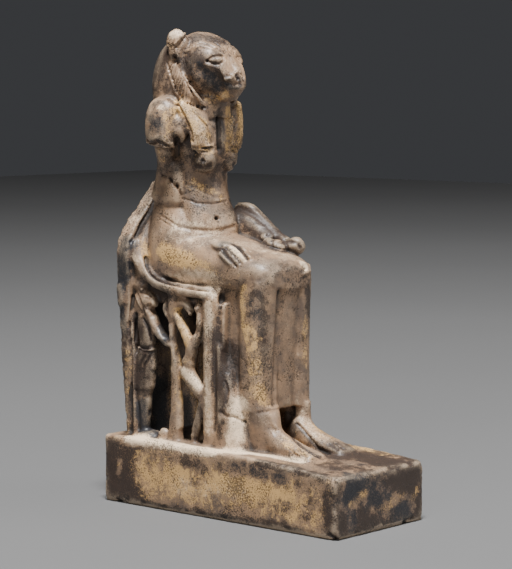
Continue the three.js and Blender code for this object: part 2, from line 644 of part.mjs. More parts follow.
/** A long lappet of the wig, ending in a banded hem above the breast. */
function lappet() {
  const line = [
    body(-9.8, 14.0, 48.6), body(-8.0, 16.2, 44.7), body(-6.5, 17.5, 41.0),
    body(-5.4, 17.7, 36.4),
  ];
  const outward = new THREE.Vector3(0.13, 0.99, 0);
  const widths = [[2.3, 1.6], [3.0, 1.3], [3.4, 1.1], [3.8, 0.9]];
  const strip = limb(line, widths, outward, 3, FRET_SIDES, 3);
  const bands = [37.0, 35.6].map((up) => limb([
    body(-8.2, 17.5, up), body(-5.2, 18.6, up), body(-2.1, 18.8, up),
  ], [[0.4, 0.5], [0.4, 0.5]], Y, 1, THIN_SIDES));
  return [strip, ...bands];
}

/** The seated figure, joined from its parts. */
function goddess() {
  const paired = [ruff(), ...lappet(), ...brokenArm()];
  const single = [...torso(), ...head(), ...ears(), wig(), ...farHand(), ...nearHand()];
  const forms = [...single, ...paired, ...paired.map(mirrored)];
  const sole = foot();
  return join([lap(), legs(), sole, sole.mirror([1, 0, 0]), ...forms.map(seated)]);
}

/** The throne, joined from its seat, back, front wall and two openwork sides. */
function throne() {
  const near = openworkSide(false).map(solidOf);
  const far = openworkSide(true).map(mirrored).map(solidOf);
  return join([throneBack(), seatBlock(), frontWall(), ...near, ...far]);
}

/** A mesh of one solid, with flat faces. */
function meshOf(name, solid, colour) {
  const { vertProperties, triVerts, numProp } = solid.getMesh();
  const geometry = new THREE.BufferGeometry();
  const points = new Float32Array(3 * (vertProperties.length / numProp));
  for (let i = 0; i < points.length; i += 1) {
    points[i] = vertProperties[Math.floor(i / 3) * numProp + (i % 3)];
  }
  geometry.setAttribute('position', new THREE.BufferAttribute(points, 3));
  geometry.setIndex(new THREE.BufferAttribute(new Uint32Array(triVerts), 1));
  geometry.computeVertexNormals();
  const material = new THREE.MeshStandardMaterial({ color: colour, roughness: 0.5, metalness: 0 });
  const mesh = new THREE.Mesh(geometry, material);
  mesh.name = name;
  return mesh;
}

const group = new THREE.Group();
group.add(meshOf('sekhmet_statuette', join([plinth(), throne(), goddess()]), 0x9c8560));

export default group;
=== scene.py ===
"""Seated lion-headed goddess on an openwork throne, fired and glazed in one piece.

The forms are drawn in millimetres, fused into one body, carved, worn and stained, and then
brought to metres. The figure faces -Y, and its own right side, which the camera sees, is -X.
"""
import logging
import math
from collections.abc import Sequence
from dataclasses import dataclass, field
from enum import Enum

import bpy
import numpy as np
from mathutils import Matrix, Vector
from mathutils.bvhtree import BVHTree


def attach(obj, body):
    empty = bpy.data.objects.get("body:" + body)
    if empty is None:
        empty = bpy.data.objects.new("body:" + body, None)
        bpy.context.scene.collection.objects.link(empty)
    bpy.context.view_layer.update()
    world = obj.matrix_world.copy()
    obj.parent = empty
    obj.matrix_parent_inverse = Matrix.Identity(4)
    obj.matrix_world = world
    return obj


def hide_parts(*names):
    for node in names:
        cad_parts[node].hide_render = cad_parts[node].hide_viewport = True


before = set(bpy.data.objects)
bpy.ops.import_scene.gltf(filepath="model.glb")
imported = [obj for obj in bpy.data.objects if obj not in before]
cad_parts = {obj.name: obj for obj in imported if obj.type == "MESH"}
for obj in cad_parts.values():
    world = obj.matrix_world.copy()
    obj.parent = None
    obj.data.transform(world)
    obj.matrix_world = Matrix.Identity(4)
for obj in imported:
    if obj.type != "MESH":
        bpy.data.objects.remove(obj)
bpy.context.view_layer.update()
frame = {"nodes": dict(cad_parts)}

LOG = logging.getLogger("statuette")
NODE = "sekhmet_statuette"
METRES = 0.001
SOFT_EDGE = 1.5  # A stain fades out at this many of its radii.

Form = bpy.types.Object
Socket = bpy.types.NodeSocket
Point = tuple[float, float, float]
Pixel = tuple[float, float]
Halves = tuple[float, float]
Section = tuple[Point, Halves, float]

X = np.array((1.0, 0.0, 0.0))
Y = np.array((0.0, 1.0, 0.0))
Z = np.array((0.0, 0.0, 1.0))


# Clay: closed forms that are later fused.


def spline(rows: Sequence[Sequence[float]], count: int) -> np.ndarray:
    """Draws a smooth curve through rows of numbers.

    Args:
        rows: The numbers that the curve passes through, at least two rows.
        count: How many rows to return.

    Returns:
        An array of `count` rows, spread evenly over the curve's parameter.
    """
    table = np.array(rows, dtype=float)
    ends = [2 * table[:1] - table[1:2], table, 2 * table[-1:] - table[-2:-1]]
    padded = np.vstack(ends)
    place = np.linspace(0, len(table) - 1, count)
    k = np.minimum(place.astype(int), len(table) - 2)
    t = (place - k)[:, None]
    before, here, after, beyond = (padded[k + n] for n in range(4))
    return 0.5 * (
        2 * here
        + (after - before) * t
        + (2 * before - 5 * here + 4 * after - beyond) * t**2
        + (3 * here - before - 3 * after + beyond) * t**3
    )


def stepped(rows: Sequence[Sequence[float]], count: int) -> np.ndarray:
    """Draws straight lines through rows of numbers.

    Args:
        rows: The numbers at the corners, at least two rows.
        count: How many rows to return.

    Returns:
        An array of `count` rows.
    """
    table = np.array(rows, dtype=float)
    place = np.linspace(0, len(table) - 1, count)
    columns = [np.interp(place, np.arange(len(table)), column) for column in table.T]
    return np.stack(columns, axis=1)


def squared(value: np.ndarray, power: np.ndarray | float) -> np.ndarray:
    """Bends a circle's sine or cosine towards a superellipse, keeping its sign."""
    return np.sign(value) * np.abs(value) ** (2 / power)


def drum(sides: int, rows: int) -> tuple[Form, np.ndarray, np.ndarray, np.ndarray]:
    """Adds a sphere whose rings are ready to be moved to new places.

    Args:
        sides: Points round each ring.
        rows: Number of rings between the two poles.

    Returns:
        The object, and for each point its ring, its cosine and its sine, which are zero at
        the poles.
    """
    bpy.ops.mesh.primitive_uv_sphere_add(segments=sides, ring_count=rows + 1, radius=1.0)
    form = bpy.context.object
    places = read(form.data.vertices, "co")
    turn = np.arccos(np.clip(places[:, 2], -1, 1)) / math.pi * (rows + 1)
    ring = np.rint(turn).astype(int) - 1
    angle = np.arctan2(places[:, 1], places[:, 0])
    middle = (ring >= 0) & (ring < rows)
    return form, np.clip(ring, 0, rows - 1), np.cos(angle) * middle, np.sin(angle) * middle


def read(items: bpy.types.bpy_prop_collection, name: str) -> np.ndarray:
    """Reads a vector property of a mesh's points as an array of rows.

    Args:
        items: A mesh's points or edges.
        name: The property's name.

    Returns:
        A row of three numbers for each item.
    """
    values = np.empty(3 * len(items), dtype=np.float64)
    items.foreach_get(name, values)
    return values.reshape(-1, 3)


def place_points(form: Form, places: np.ndarray) -> Form:
    """Moves a form's points to new places and returns the form.

    Args:
        form: The form.
        places: A row of coordinates for each point.

    Returns:
        The same form.
    """
    form.data.vertices.foreach_set("co", np.ascontiguousarray(places, dtype=np.float32).ravel())
    form.data.update()
    return form


def loft(sections: Sequence[Section], up: np.ndarray = Y, sides: int = 40, rows: int = 30,
         smooth: bool = True) -> Form:
    """Models a closed form through a row of oval sections.

    Args:
        sections: For each one its centre, its half sizes along X and `up`, and its power: 2
            is an ellipse and more is squarer.
        up: Direction of the second half size.
        sides: Points round the form.
        rows: Rings along it.
        smooth: Whether the rings lie on a curve or on straight lines.

    Returns:
        The new form.
    """
    form, ring, cosine, sine = drum(sides, rows)
    table = [(*centre, *half, power) for centre, half, power in sections]
    level = (spline if smooth else stepped)(table, rows)[ring]
    across = squared(cosine, level[:, 5]) * level[:, 3]
    rise = squared(sine, level[:, 5]) * level[:, 4]
    return place_points(form, level[:, :3] + across[:, None] * X + rise[:, None] * up)


def crested(rows: Sequence[Sequence[float]], sides: int = 72, rings: int = 60) -> Form:
    """Models a form whose sections are flatter above their widest level than below it.

    Args:
        rows: For each section its place forward, the height of its widest level, its half
            width, its rise above and drop below that level, and the powers of both halves.
        sides: Points round the form.
        rings: Rings along it.

    Returns:
        The new form.
    """
    form, ring, cosine, sine = drum(sides, rings)
    forward, level, half, rise, drop, top, under = spline(rows, rings)[ring].T
    power = np.where(sine > 0, top, under)
    height = np.where(sine > 0, rise, drop)
    across = squared(cosine, power) * half
    upward = level + squared(sine, power) * height
    return place_points(form, np.stack([across, -forward, upward], axis=1))


def limb(points: Sequence[Point], sizes: Sequence[Halves], facing: np.ndarray = X,
         sides: int = 24, rows: int = 22, power: float = 2.0) -> Form:
    """Models a rounded bar or limb along a smooth line.

    Args:
        points: Places that its middle line passes through.
        sizes: Half sizes across the line and along `facing`, spread evenly over it.
        facing: Direction that its flat side looks in.
        sides: Points round the limb.
        rows: Rings along it.
        power: 2 for an oval section, more for a squarer one.

    Returns:
        The new form.
    """
    form, ring, cosine, sine = drum(sides, rows)
    line = spline(points, rows)
    along = np.gradient(line, axis=0)
    side = np.cross(along, facing)
    side /= np.linalg.norm(side, axis=1)[:, None]
    front = np.cross(side, along)
    front /= np.linalg.norm(front, axis=1)[:, None]
    half = stepped(sizes, rows)
    steps = np.linalg.norm(np.diff(line, axis=0), axis=1)
    run = np.concatenate(([0.0], np.cumsum(steps)))
    inward = np.minimum(run, run[-1] - run) / half.min(axis=1)
    half *= np.sqrt(1 - (1 - np.clip(inward, 0.08, 1)) ** 2)[:, None]
    across = squared(cosine, power) * half[ring, 0]
    rise = squared(sine, power) * half[ring, 1]
    return place_points(form, line[ring] + across[:, None] * side[ring] + rise[:, None] * front[ring])


def oval(centre: Point, radii: Point, turn_x: float = 0.0, turn_z: float = 0.0) -> Form:
    """Models an ellipsoid, turned about X and then Z.

    Args:
        centre: Its centre.
        radii: Half sizes along X, Y and Z.
        turn_x: Angle about X, in degrees.
        turn_z: Angle about Z, in degrees.

    Returns:
        The new form.
    """
    bpy.ops.mesh.primitive_uv_sphere_add(segments=32, ring_count=20, radius=1.0)
    form = bpy.context.object
    turn = Matrix.Rotation(math.radians(turn_z), 3, "Z") @ Matrix.Rotation(math.radians(turn_x), 3, "X")
    places = read(form.data.vertices, "co") * np.array(radii)
    return place_points(form, places @ np.array(turn).T + np.array(centre))


def mirrored(forms: Sequence[Form]) -> list[Form]:
    """Copies forms to the other side of the figure's middle plane.

    Args:
        forms: The forms to copy.

    Returns:
        The copies, in the same order.
    """
    copies = []
    for form in forms:
        copy = form.copy()
        copy.data = form.data.copy()
        bpy.context.collection.objects.link(copy)
        copies.append(place_points(copy, read(copy.data.vertices, "co") * (-1, 1, 1)))
    return copies


def paired(*forms: Form) -> list[Form]:
    """Returns forms and their copies on the other side."""
    return [*forms, *mirrored(forms)]


def shifted(forms: Sequence[Form], move: Point) -> list[Form]:
    """Moves forms by moving their points."""
    return [place_points(form, read(form.data.vertices, "co") + move) for form in forms]


def body(across: float, forward: float, up: float) -> Point:
    """A place on the body: across, forward of the throne's back and up from the seat."""
    return (across, -forward, up)


# Marks that are drawn from where the camera stands.


class Tone(Enum):
    """A tone of the old glaze, by the place of its mask; in places `DARK` and `BLUE` lay painted shade and
    `PALE` painted highlights. `BARE` takes the others off.
    """

    BARE = -1
    OCHRE = 0
    PALE = 1
    DARK = 2
    BLUE = 3

    def near(self, radius: float, strength: float, *line: Pixel) -> "Stain":
        """A stain of this tone on the near side alone."""
        return Stain(line, radius, self, strength)

    def both(self, radius: float, strength: float, *line: Pixel) -> "Stain":
        """A stain of this tone on both sides."""
        return Stain(line, radius, self, strength, True)


@dataclass(frozen=True)
class Cut:
    """A line on the surface, raised or cut by a round-nosed tool.

    `line` is in pixels of the camera's frame, and the sizes are in millimetres. A negative
    depth cuts.
    """

    line: tuple[Pixel, ...]
    depth: float
    width: float
    both: bool = False


@dataclass(frozen=True)
class Stain:
    """A stretch of surface that has one tone, drawn as a cut is."""

    line: tuple[Pixel, ...]
    radius: float
    tone: Tone
    strength: float
    both: bool = False


def coats(line: tuple[Pixel, ...], finish: dict[Tone, tuple[float, float]]) -> list[Stain]:
    """Several stains on one line: the radius and strength of each tone, in the order of laying."""
    return [tone.near(*coat, *line) for tone, coat in finish.items()]


@dataclass(frozen=True)
class Sight:
    """The camera's place and lens, and the way that it sees each pixel of its frame."""

    eye: Point = (-404.57, -355.93, 107.54)
    aim: Point = (-1.626, 0.0, 57.11)
    lens: float = 136.66
    sensor: float = 36.0
    frame: tuple[int, int] = (512, 569)
    clip: tuple[float, float] = (0.05, 20.0)

    def axes(self) -> tuple[Vector, Vector, Vector]:
        """Directions to the right, up and forward of the camera.

        Returns:
            Three unit vectors.
        """
        forward = (Vector(self.aim) - Vector(self.eye)).normalized()
        right = forward.cross(Vector((0, 0, 1))).normalized()
        return right, right.cross(forward), forward

    def ray(self, pixel: Pixel) -> tuple[Vector, Vector]:
        """The start and direction of the line of sight through a pixel.

        Args:
            pixel: A place in the frame, from its top left corner.

        Returns:
            The eye, and a unit vector.
        """
        right, up, forward = self.axes()
        reach = self.lens / self.sensor * max(self.frame)
        across = pixel[0] - self.frame[0] / 2
        rise = self.frame[1] / 2 - pixel[1]
        return Vector(self.eye), (forward * reach + right * across + up * rise).normalized()

    def camera(self) -> Form:
        """Adds the camera and makes it the scene's own.

        Returns:
            The camera.
        """
        bpy.ops.object.camera_add(location=Vector(self.eye) * METRES)
        camera = bpy.context.object
        camera.name = "view"
        right, up, forward = self.axes()
        camera.rotation_euler = Matrix((right, up, -forward)).transposed().to_euler()
        camera.data.lens = self.lens
        camera.data.sensor_width = self.sensor
        camera.data.clip_start, camera.data.clip_end = self.clip
        bpy.context.scene.camera = camera
        return camera


class Grain:
    """Smooth repeatable noise in space, from 0 to 1.

    `LAYERS` are the share and size of each layer of rough noise, and `OFFSET` sets them apart.
    """

    SIZE = 32
    LAYERS = ((0.55, 1.0), (0.29, 0.47), (0.16, 0.21))
    OFFSET = 7.3

    def __init__(self, seed: int) -> None:
        """Draws the noise's lattice from a seed."""
        self.lattice = np.random.default_rng(seed).random((self.SIZE,) * 3)

    def at(self, points: np.ndarray, scale: float) -> np.ndarray:
        """Reads the noise at places.

        Args:
            points: Rows of three coordinates.
            scale: Size of one swell of the noise, in the same unit.

        Returns:
            One value for each place.
        """
        spot = points / scale
        cell = np.floor(spot).astype(int)
        part = spot - cell
        part = part * part * (3 - 2 * part)
        total = np.zeros(len(points))
        for corner in np.ndindex(2, 2, 2):
            weight = np.prod(np.where(corner, part, 1 - part), axis=1)
            i, j, k = ((cell + corner) % self.SIZE).T
            total += weight * self.lattice[i, j, k]
        return total

    def rough(self, points: np.ndarray, scale: float) -> np.ndarray:
        """Three sizes of the noise together, from 0 to 1."""
        layers = (share * self.at(points + self.OFFSET * size, scale * size) for share, size in self.LAYERS)
        return sum(layers)


class Skin:
    """The points, normals and links of the fused body, ready to be carved and stained.

    A gap of more than `JUMP` millimetres beyond the step ends a run of marks. A cut moves points
    as far as `REACH` of its widths. `REGROW` undoes the shrinking that smoothing brings.
    """

    JUMP = 3.0
    REACH = 2.6
    REGROW = 1.02

    def __init__(self, piece: Form, sight: Sight) -> None:
        """Reads a mesh whose coordinates are in millimetres.

        Args:
            piece: The mesh object.
            sight: Where its marks are drawn from.
        """
        self.piece = piece
        self.sight = sight
        self.read()

    def read(self) -> None:
        """Reads the mesh again after it has changed."""
        mesh = self.piece.data
        self.points = read(mesh.vertices, "co")
        self.normals = read(mesh.vertices, "normal")
        links = np.empty(2 * len(mesh.edges), dtype=np.int32)
        mesh.edges.foreach_get("vertices", links)
        self.links = links.reshape(-1, 2)
        self.degree = np.bincount(self.links.ravel(), minlength=len(self.points))[:, None]
        faces = [tuple(polygon.vertices) for polygon in mesh.polygons]
        self.tree = BVHTree.FromPolygons([tuple(place) for place in self.points], faces)

    def write(self) -> None:
        """Puts the moved points back into the mesh and reads their new normals."""
        place_points(self.piece, self.points)
        self.normals = read(self.piece.data.vertices, "normal")

    def spread(self, values: np.ndarray) -> np.ndarray:
        """The mean of each point's neighbours, for rows of values.

        Args:
            values: A row for each point.

        Returns:
            A row for each point.
        """
        total = np.zeros_like(values)
        first, second = self.links.T
        for column in range(values.shape[1]):
            sums = np.bincount(first, values[second, column], len(values))
            sums += np.bincount(second, values[first, column], len(values))
            total[:, column] = sums
        return total / np.maximum(self.degree, 1)

    def bend(self) -> np.ndarray:
        """How far each point lies below its neighbours: positive in a hollow."""
        return np.einsum("ij,ij->i", self.spread(self.points) - self.points, self.normals)

    def relax(self, steps: int, share: float = 0.5) -> None:
        """Smooths the skin without shrinking it much.

        Args:
            steps: How often to smooth it.
            share: How far each point goes towards its neighbours' mean.
        """
        for _ in range(steps):
            self.points += share * (self.spread(self.points) - self.points)
            self.points -= share * self.REGROW * (self.spread(self.points) - self.points)
        self.write()

    def fillet(self, steps: int, share: float = 0.7) -> None:
        """Fills sharp inner corners, as clay does when it is pressed.

        Args:
            steps: How often to fill them.
            share: How much of each hollow is filled at once.
        """
        for _ in range(steps):
            hollow = np.maximum(self.bend(), 0)
            self.points += share * hollow[:, None] * self.normals
        self.write()

    def trace(self, line: Sequence[Pixel], step: float, both: bool) -> np.ndarray:
        """Finds where a line of pixels falls on the skin.

        Args:
            line: Corners of the line, in pixels, two or more.
            step: Distance between the marks, in pixels.
            both: Whether to add the same marks on the other side of the figure.

        Returns:
            The marks, as rows of three coordinates. A line that jumps to a surface behind
            keeps its longest unbroken run.
        """
        corners = np.array(line, dtype=float)
        runs: list[list[Vector]] = [[]]
        for start, end in zip(corners[:-1], corners[1:]):
            count = max(2, int(np.linalg.norm(end - start) / step) + 1)
            for share in np.linspace(0, 1, count):
                hit = self.tree.ray_cast(*self.sight.ray(tuple(start + (end - start) * share)))[0]
                if hit is None or (runs[-1] and (hit - runs[-1][-1]).length > self.JUMP + step):
                    runs.append([])
                if hit is not None:
                    runs[-1].append(hit)
        marks = np.array([tuple(mark) for mark in max(runs, key=len)]).reshape(-1, 3)
        if both and len(marks):
            twins = [self.tree.find_nearest(Vector(mark * (-1, 1, 1)), self.JUMP)[0] for mark in marks]
            found = [tuple(twin) for twin in twins if twin is not None]
            marks = np.vstack([marks, np.array(found).reshape(-1, 3)])
        return marks

    def near(self, marks: np.ndarray, radius: float) -> tuple[np.ndarray, np.ndarray]:
        """Finds the points close to some marks.

        Args:
            marks: Rows of three coordinates.
            radius: How far a point may be.

        Returns:
            Indices of those points, and how far each is from its nearest mark.
        """
        if not len(marks):
            return np.empty(0, dtype=int), np.empty(0)
        low, high = marks.min(axis=0) - radius, marks.max(axis=0) + radius
        inside = np.flatnonzero(((self.points > low) & (self.points < high)).all(axis=1))
        gaps = np.full(len(inside), np.inf)
        for mark in marks:
            offset = self.points[inside] - mark
            gaps = np.minimum(gaps, np.einsum("ij,ij->i", offset, offset))
        gaps = np.sqrt(gaps)
        return inside[gaps < radius], gaps[gaps < radius]

    def carve(self, cuts: Sequence[Cut]) -> None:
        """Raises or cuts the skin along each line.

        Args:
            cuts: The lines.
        """
        push = np.zeros(len(self.points))
        for cut in cuts:
            marks = self.trace(cut.line, 1.0, cut.both)
            index, gap = self.near(marks, self.REACH * cut.width)
            push[index] += cut.depth * np.exp(-((gap / cut.width) ** 2))
        self.points += push[:, None] * self.normals
        self.write()


# Sub-assemblies.


@dataclass(frozen=True)
class Plinth:
    """The block that the throne and the feet stand on, worn down towards its front."""

    length: float = 77.6
    width: float = 34.3
    height: float = 17.2
    fall: float = 2.6
    fall_power: float = 3.2
    edge: float = 1.0
    divisions: int = 9

    def top(self, y: float | np.ndarray) -> float | np.ndarray:
        """Height of the worn top at a place along the length."""
        share = np.clip(0.5 - y / self.length, 0, 1)
        return self.height - self.fall * share**self.fall_power

    def cuts(self) -> list[Cut]:
        """Chips in the block's edges.

        Returns:
            The cuts.
        """
        return [
            Cut(((118, 500), (122, 502)), -0.6, 0.6),
            Cut(((132, 505), (136, 506)), -0.5, 0.5),
            Cut(((214, 519), (222, 521)), -0.6, 0.6),
            Cut(((330, 536), (336, 540)), -0.7, 0.6),
            Cut(((352, 538), (360, 535)), -0.6, 0.6),
            Cut(((404, 522), (412, 519)), -0.6, 0.6),
        ]

    def stains(self) -> list[Stain]:
        """Tones of the block, with painted shade on its front face.

        Returns:
            The stains, each laid over those before it.
        """
        bare, ochre, pale, dark, blue = Tone
        return [
            dark.near(5.0, 0.95, (106, 456), (108, 494), (128, 488), (136, 470)),
            dark.near(2.4, 0.7, (112, 446), (126, 452), (148, 456)),
            bare.near(6.0, 1.0, (160, 470), (200, 480), (240, 490), (280, 498), (320, 496)),
            ochre.near(6.0, 0.62, (150, 470), (180, 478), (220, 486), (260, 495), (320, 508)),
            ochre.near(3.0, 0.85, (180, 482), (215, 486), (250, 492), (275, 498)),
            dark.near(1.6, 0.35, (150, 462), (176, 458), (205, 466), (232, 470)),
            pale.near(3.0, 0.3, (180, 486), (210, 490), (240, 492)),
            dark.near(2.4, 0.35, (216, 500), (240, 508), (280, 518)),
            blue.near(2.2, 0.6, (236, 466), (256, 470), (280, 478)),
            dark.near(2.4, 0.75, (330, 500), (334, 532)),
            ochre.near(1.4, 0.5, (330, 478), (333, 500)),
            dark.near(1.6, 0.75, (120, 501), (200, 515), (300, 532)),
            # The front face's dark glaze, laid deeper as painted shade, since that face turns from the
            # light.
            dark.near(6.0, 0.95, (350, 492), (380, 486), (416, 480)),
            dark.near(6.0, 0.95, (350, 518), (385, 512), (416, 506)),
            blue.near(4.0, 0.75, (356, 482), (384, 500), (404, 514)),
            blue.near(2.2, 0.6, (352, 480), (351, 505), (352, 525)),
            blue.near(2.4, 0.6, (345, 500), (356, 490)),
            ochre.near(1.2, 0.4, (352, 505), (366, 492)),
            ochre.near(1.5, 0.45, (384, 508), (404, 494)),
            ochre.near(1.4, 0.35, (412, 500), (418, 488)),
            dark.near(5.4, 0.8, (340, 452), (372, 460), (404, 470)),
            blue.near(2.2, 0.4, (350, 462), (384, 470)),
            pale.near(1.8, 0.95, (130, 437), (160, 441), (190, 447), (212, 450), (240, 453)),
            dark.near(1.8, 0.5, (186, 462), (204, 470), (196, 480)),
            dark.near(2.0, 0.5, (300, 484), (312, 500), (306, 518)),
            dark.near(1.5, 0.45, (262, 500), (290, 506)),
            pale.near(1.5, 0.85, (240, 452), (270, 456), (300, 462)),
            dark.near(1.4, 0.85, (258, 462), (290, 468), (322, 475)),
        ]

    def build(self) -> list[Form]:
        """Models the block from a cube: its edges bevelled, then divided and let down to its worn top.

        Returns:
            The block.
        """
        bpy.ops.mesh.primitive_cube_add(size=1.0, location=(0, 0, self.height / 2),
                                        scale=(self.width, self.length, self.height))
        block = bpy.context.object
        bpy.ops.object.transform_apply(location=True, scale=True)
        bevel = block.modifiers.new("worn edge", "BEVEL")
        bevel.width = self.edge
        bevel.segments = 4
        bpy.ops.object.modifier_apply(modifier=bevel.name)
        bpy.ops.object.mode_set(mode="EDIT")
        bpy.ops.mesh.select_all(action="SELECT")
        bpy.ops.mesh.subdivide(number_cuts=self.divisions)
        bpy.ops.object.mode_set(mode="OBJECT")
        places = read(block.data.vertices, "co")
        places[:, 2] *= self.top(places[:, 1]) / self.height
        return [place_points(block, places)]


@dataclass(frozen=True)
class Throne:
    """The low-backed throne: a gabled back, a solid seat and two openwork sides."""

    plinth: Plinth
    width: float = 26.8
    depth: float = 33.4
    setback: float = 2.3
    seat_height: float = 37.3
    seat_thickness: float = 3.4
    back_thickness: float = 4.6
    back_lean: float = 2.4
    shoulder_rise: float = 10.4
    peak_rise: float = 27.4
    flare: float = 1.3
    rim: float = 2.5
    side_thickness: float = 2.8
    front_post: float = 4.3
    middle_post: float = 3.6
    back_post: float = 3.2
    wall_half: float = 9.6
    wall_thickness: float = 3.6

    @property
    def back(self) -> float:
        """Rear of the throne along Y."""
        return self.plinth.length / 2 - self.setback

    @property
    def face(self) -> float:
        """The back's front face along Y."""
        return self.back - self.back_thickness

    @property
    def front(self) -> float:
        """Front of the throne along Y."""
        return self.back - self.depth

    @property
    def seat(self) -> float:
        """Height of the seat."""
        return self.plinth.height + self.seat_height

    @property
    def side(self) -> float:
        """Half of the throne's width."""
        return self.width / 2

    def rear_at(self, z: float) -> float:
        """Rear face at a height: it leans back from the plinth up to the seat."""
        share = min(max((z - self.plinth.height) / self.seat_height, 0), 1)
        return self.back - self.back_lean * (1 - math.sin(share * math.pi / 2))

    def back_slab(self) -> list[Form]:
        """Models the slab, which widens to its shoulders, and the hollow lining before it.

        Returns:
            The new forms.
        """
        rise = self.peak_rise - self.shoulder_rise
        shoulder = self.seat + self.shoulder_rise
        outline = [
            (float(self.plinth.top(self.back)) - 1, self.side),
            (self.plinth.height + self.seat_height * 0.5, self.side),
            (self.seat, self.side + self.flare * 0.4),
            (shoulder, self.side + self.flare),
            (shoulder + rise * 0.2, self.side),
            (shoulder + rise * 0.43, self.side * 0.79),
            (shoulder + rise * 0.6, self.side * 0.55),
            (shoulder + rise * 0.87, self.side * 0.19),
            (shoulder + rise, self.side * 0.06),
        ]
        half = self.back_thickness / 2
        slab = loft([((0, self.rear_at(z) - half, z), (wide + 0.4, half), 11) for z, wide in outline],
                    sides=96, rows=90, smooth=False)
        lumps = [
            oval((-13.6, self.back - 1.5, self.seat - 1.0), (1.5, 1.9, 4.6)),
            oval((-13.3, self.back - 2.4, self.plinth.height + 22), (1.0, 1.6, 3.4)),
        ]
        depths = (4.6, 4.4, 3.4, 2.6, 2.0, 1.2, 0.6)
        lining = loft([
            ((0, self.face - deep / 2 + 1, z - 1.2), (wide * 0.9, deep / 2 + 1), 3.5)
            for (z, wide), deep in zip(outline[2:], depths)
        ], sides=72, rows=50, smooth=False)
        return [slab, lining, *lumps]

    def in_side(self, depth: float, height: float, inward: float | None = None) -> Point:
        """A place in the openwork, by shares of the throne's depth and the seat's height.

        Args:
            depth: Share of the throne's depth, from its front.
            height: Share of the seat's height, from the plinth.
            inward: How far in from the side it lies: by default, its middle.

        Returns:
            The place.
        """
        inset = self.side_thickness / 2 if inward is None else inward
        return (
            -self.side + inset,
            self.front + depth * self.depth,
            self.plinth.height + height * self.seat_height,
        )

    def rim_bar(self) -> Form:
        """Models the rounded bar along the side's top and up the throne's back.

        Returns:
            The new form.
        """
        lift = self.rim / 2 - 0.6
        run = self.face - self.front
        line = [
            (1.3 - self.side, self.front + share * run, self.seat + rise + lift)
            for share, rise in ((0.08, 0.0), (0.3, 0.1), (0.55, 0.6), (0.72, 1.8), (0.86, 4.4),
                                (0.97, 8.6), (1.04, 13.0))
        ]
        half = self.rim * 0.58
        sizes = [(half, 1.7), (half, 1.8), (half * 1.08, 1.9), (half * 1.25, 2.0), (half, 1.6)]
        return limb(line, sizes, rows=60, power=2.6)

    def fret(self, places: Sequence[tuple[float, ...]], widths: Sequence[float],
             thick: float = 1.0, rows: int = 26) -> Form:
        """Models one bar or limb of the openwork.

        Args:
            places: Shares of the depth and height, and sometimes how far it lies inward.
            widths: Half widths in the side's plane.
            thick: Thickness, as a share of the side's own.
            rows: Rings along it.

        Returns:
            The new form.
        """
        half = self.side_thickness * thick / 2
        return limb([self.in_side(*place) for place in places], [(wide, half) for wide in widths],
                    rows=rows, power=2.4)

    def posts(self) -> list[Form]:
        """Models the uprights and the solid corner behind the standing figure's head.

        Returns:
            The new forms.
        """
        front, middle, back = self.front_post / 2, self.middle_post / 2, self.back_post / 2
        tapered = [middle * share for share in (1.25, 1.1, 0.85, 0.85, 0.4, 0.42, 0.6, 0.9)]
        return [
            self.fret([(0.085, -0.05), (0.085, 0.5), (0.085, 1.02)], [front, front * 0.95, front * 1.05]),
            self.fret([(0.445, -0.05), (0.43, 0.25), (0.435, 0.54), (0.465, 0.7), (0.46, 1.02)],
                      tapered, rows=40),
            self.fret([(0.885, -0.05), (0.9, 0.5), (0.935, 0.8), (0.96, 1.1)],
                      [back, back * 0.9, back]),
            self.fret([(0.95, 1.13), (0.87, 1.06), (0.79, 1.03)], [2.4, 2.2, 1.0], 0.9),
        ]

    def standing_figure(self, plain: bool) -> list[Form]:
        """Models the figure with an animal's head, a long wig, a belt and a kilt.

        Args:
            plain: Whether to leave out what only the near side shows.

        Returns:
            The new forms.
        """
        forms = [
            self.fret([(0.77, 0.87), (0.75, 0.76), (0.735, 0.6)], [3.3, 2.7, 2.3]),
            self.fret([(0.735, 0.62), (0.757, 0.47), (0.775, 0.3)], [2.5, 3.5, 3.4], 1.1),
            self.fret([(0.775, 0.34), (0.785, 0.2), (0.81, 0.0)], [2.8, 2.4, 2.5]),
            self.fret([(0.7, 0.85), (0.64, 0.75), (0.53, 0.665), (0.43, 0.65)],
                      [1.35, 1.2, 1.05, 0.95], 1.1),
            self.fret([(0.86, 0.86), (0.885, 0.74), (0.875, 0.56)], [1.1, 1.05, 0.95], 1.05),
            oval(self.in_side(0.735, 0.93), (self.side_thickness * 0.6, 2.9, 2.5), 10),
            self.fret([(0.7, 0.925), (0.64, 0.905)], [1.6, 1.0], 0.9),
            self.fret([(0.76, 0.99), (0.79, 0.9), (0.8, 0.82)], [2.2, 2.8, 2.6], 0.9),
        ]
        if plain:
            return forms
        return forms + [
            self.fret([(0.66, 0.61), (0.72, 0.585), (0.815, 0.61)], [0.5, 0.55, 0.5], 1.08),
            self.fret([(0.735, 0.9), (0.705, 0.86), (0.69, 0.81)], [0.6, 0.8, 0.5], 1.3),
            self.fret([(0.77, 0.98), (0.785, 1.03)], [0.9, 0.7], 0.85),
        ]

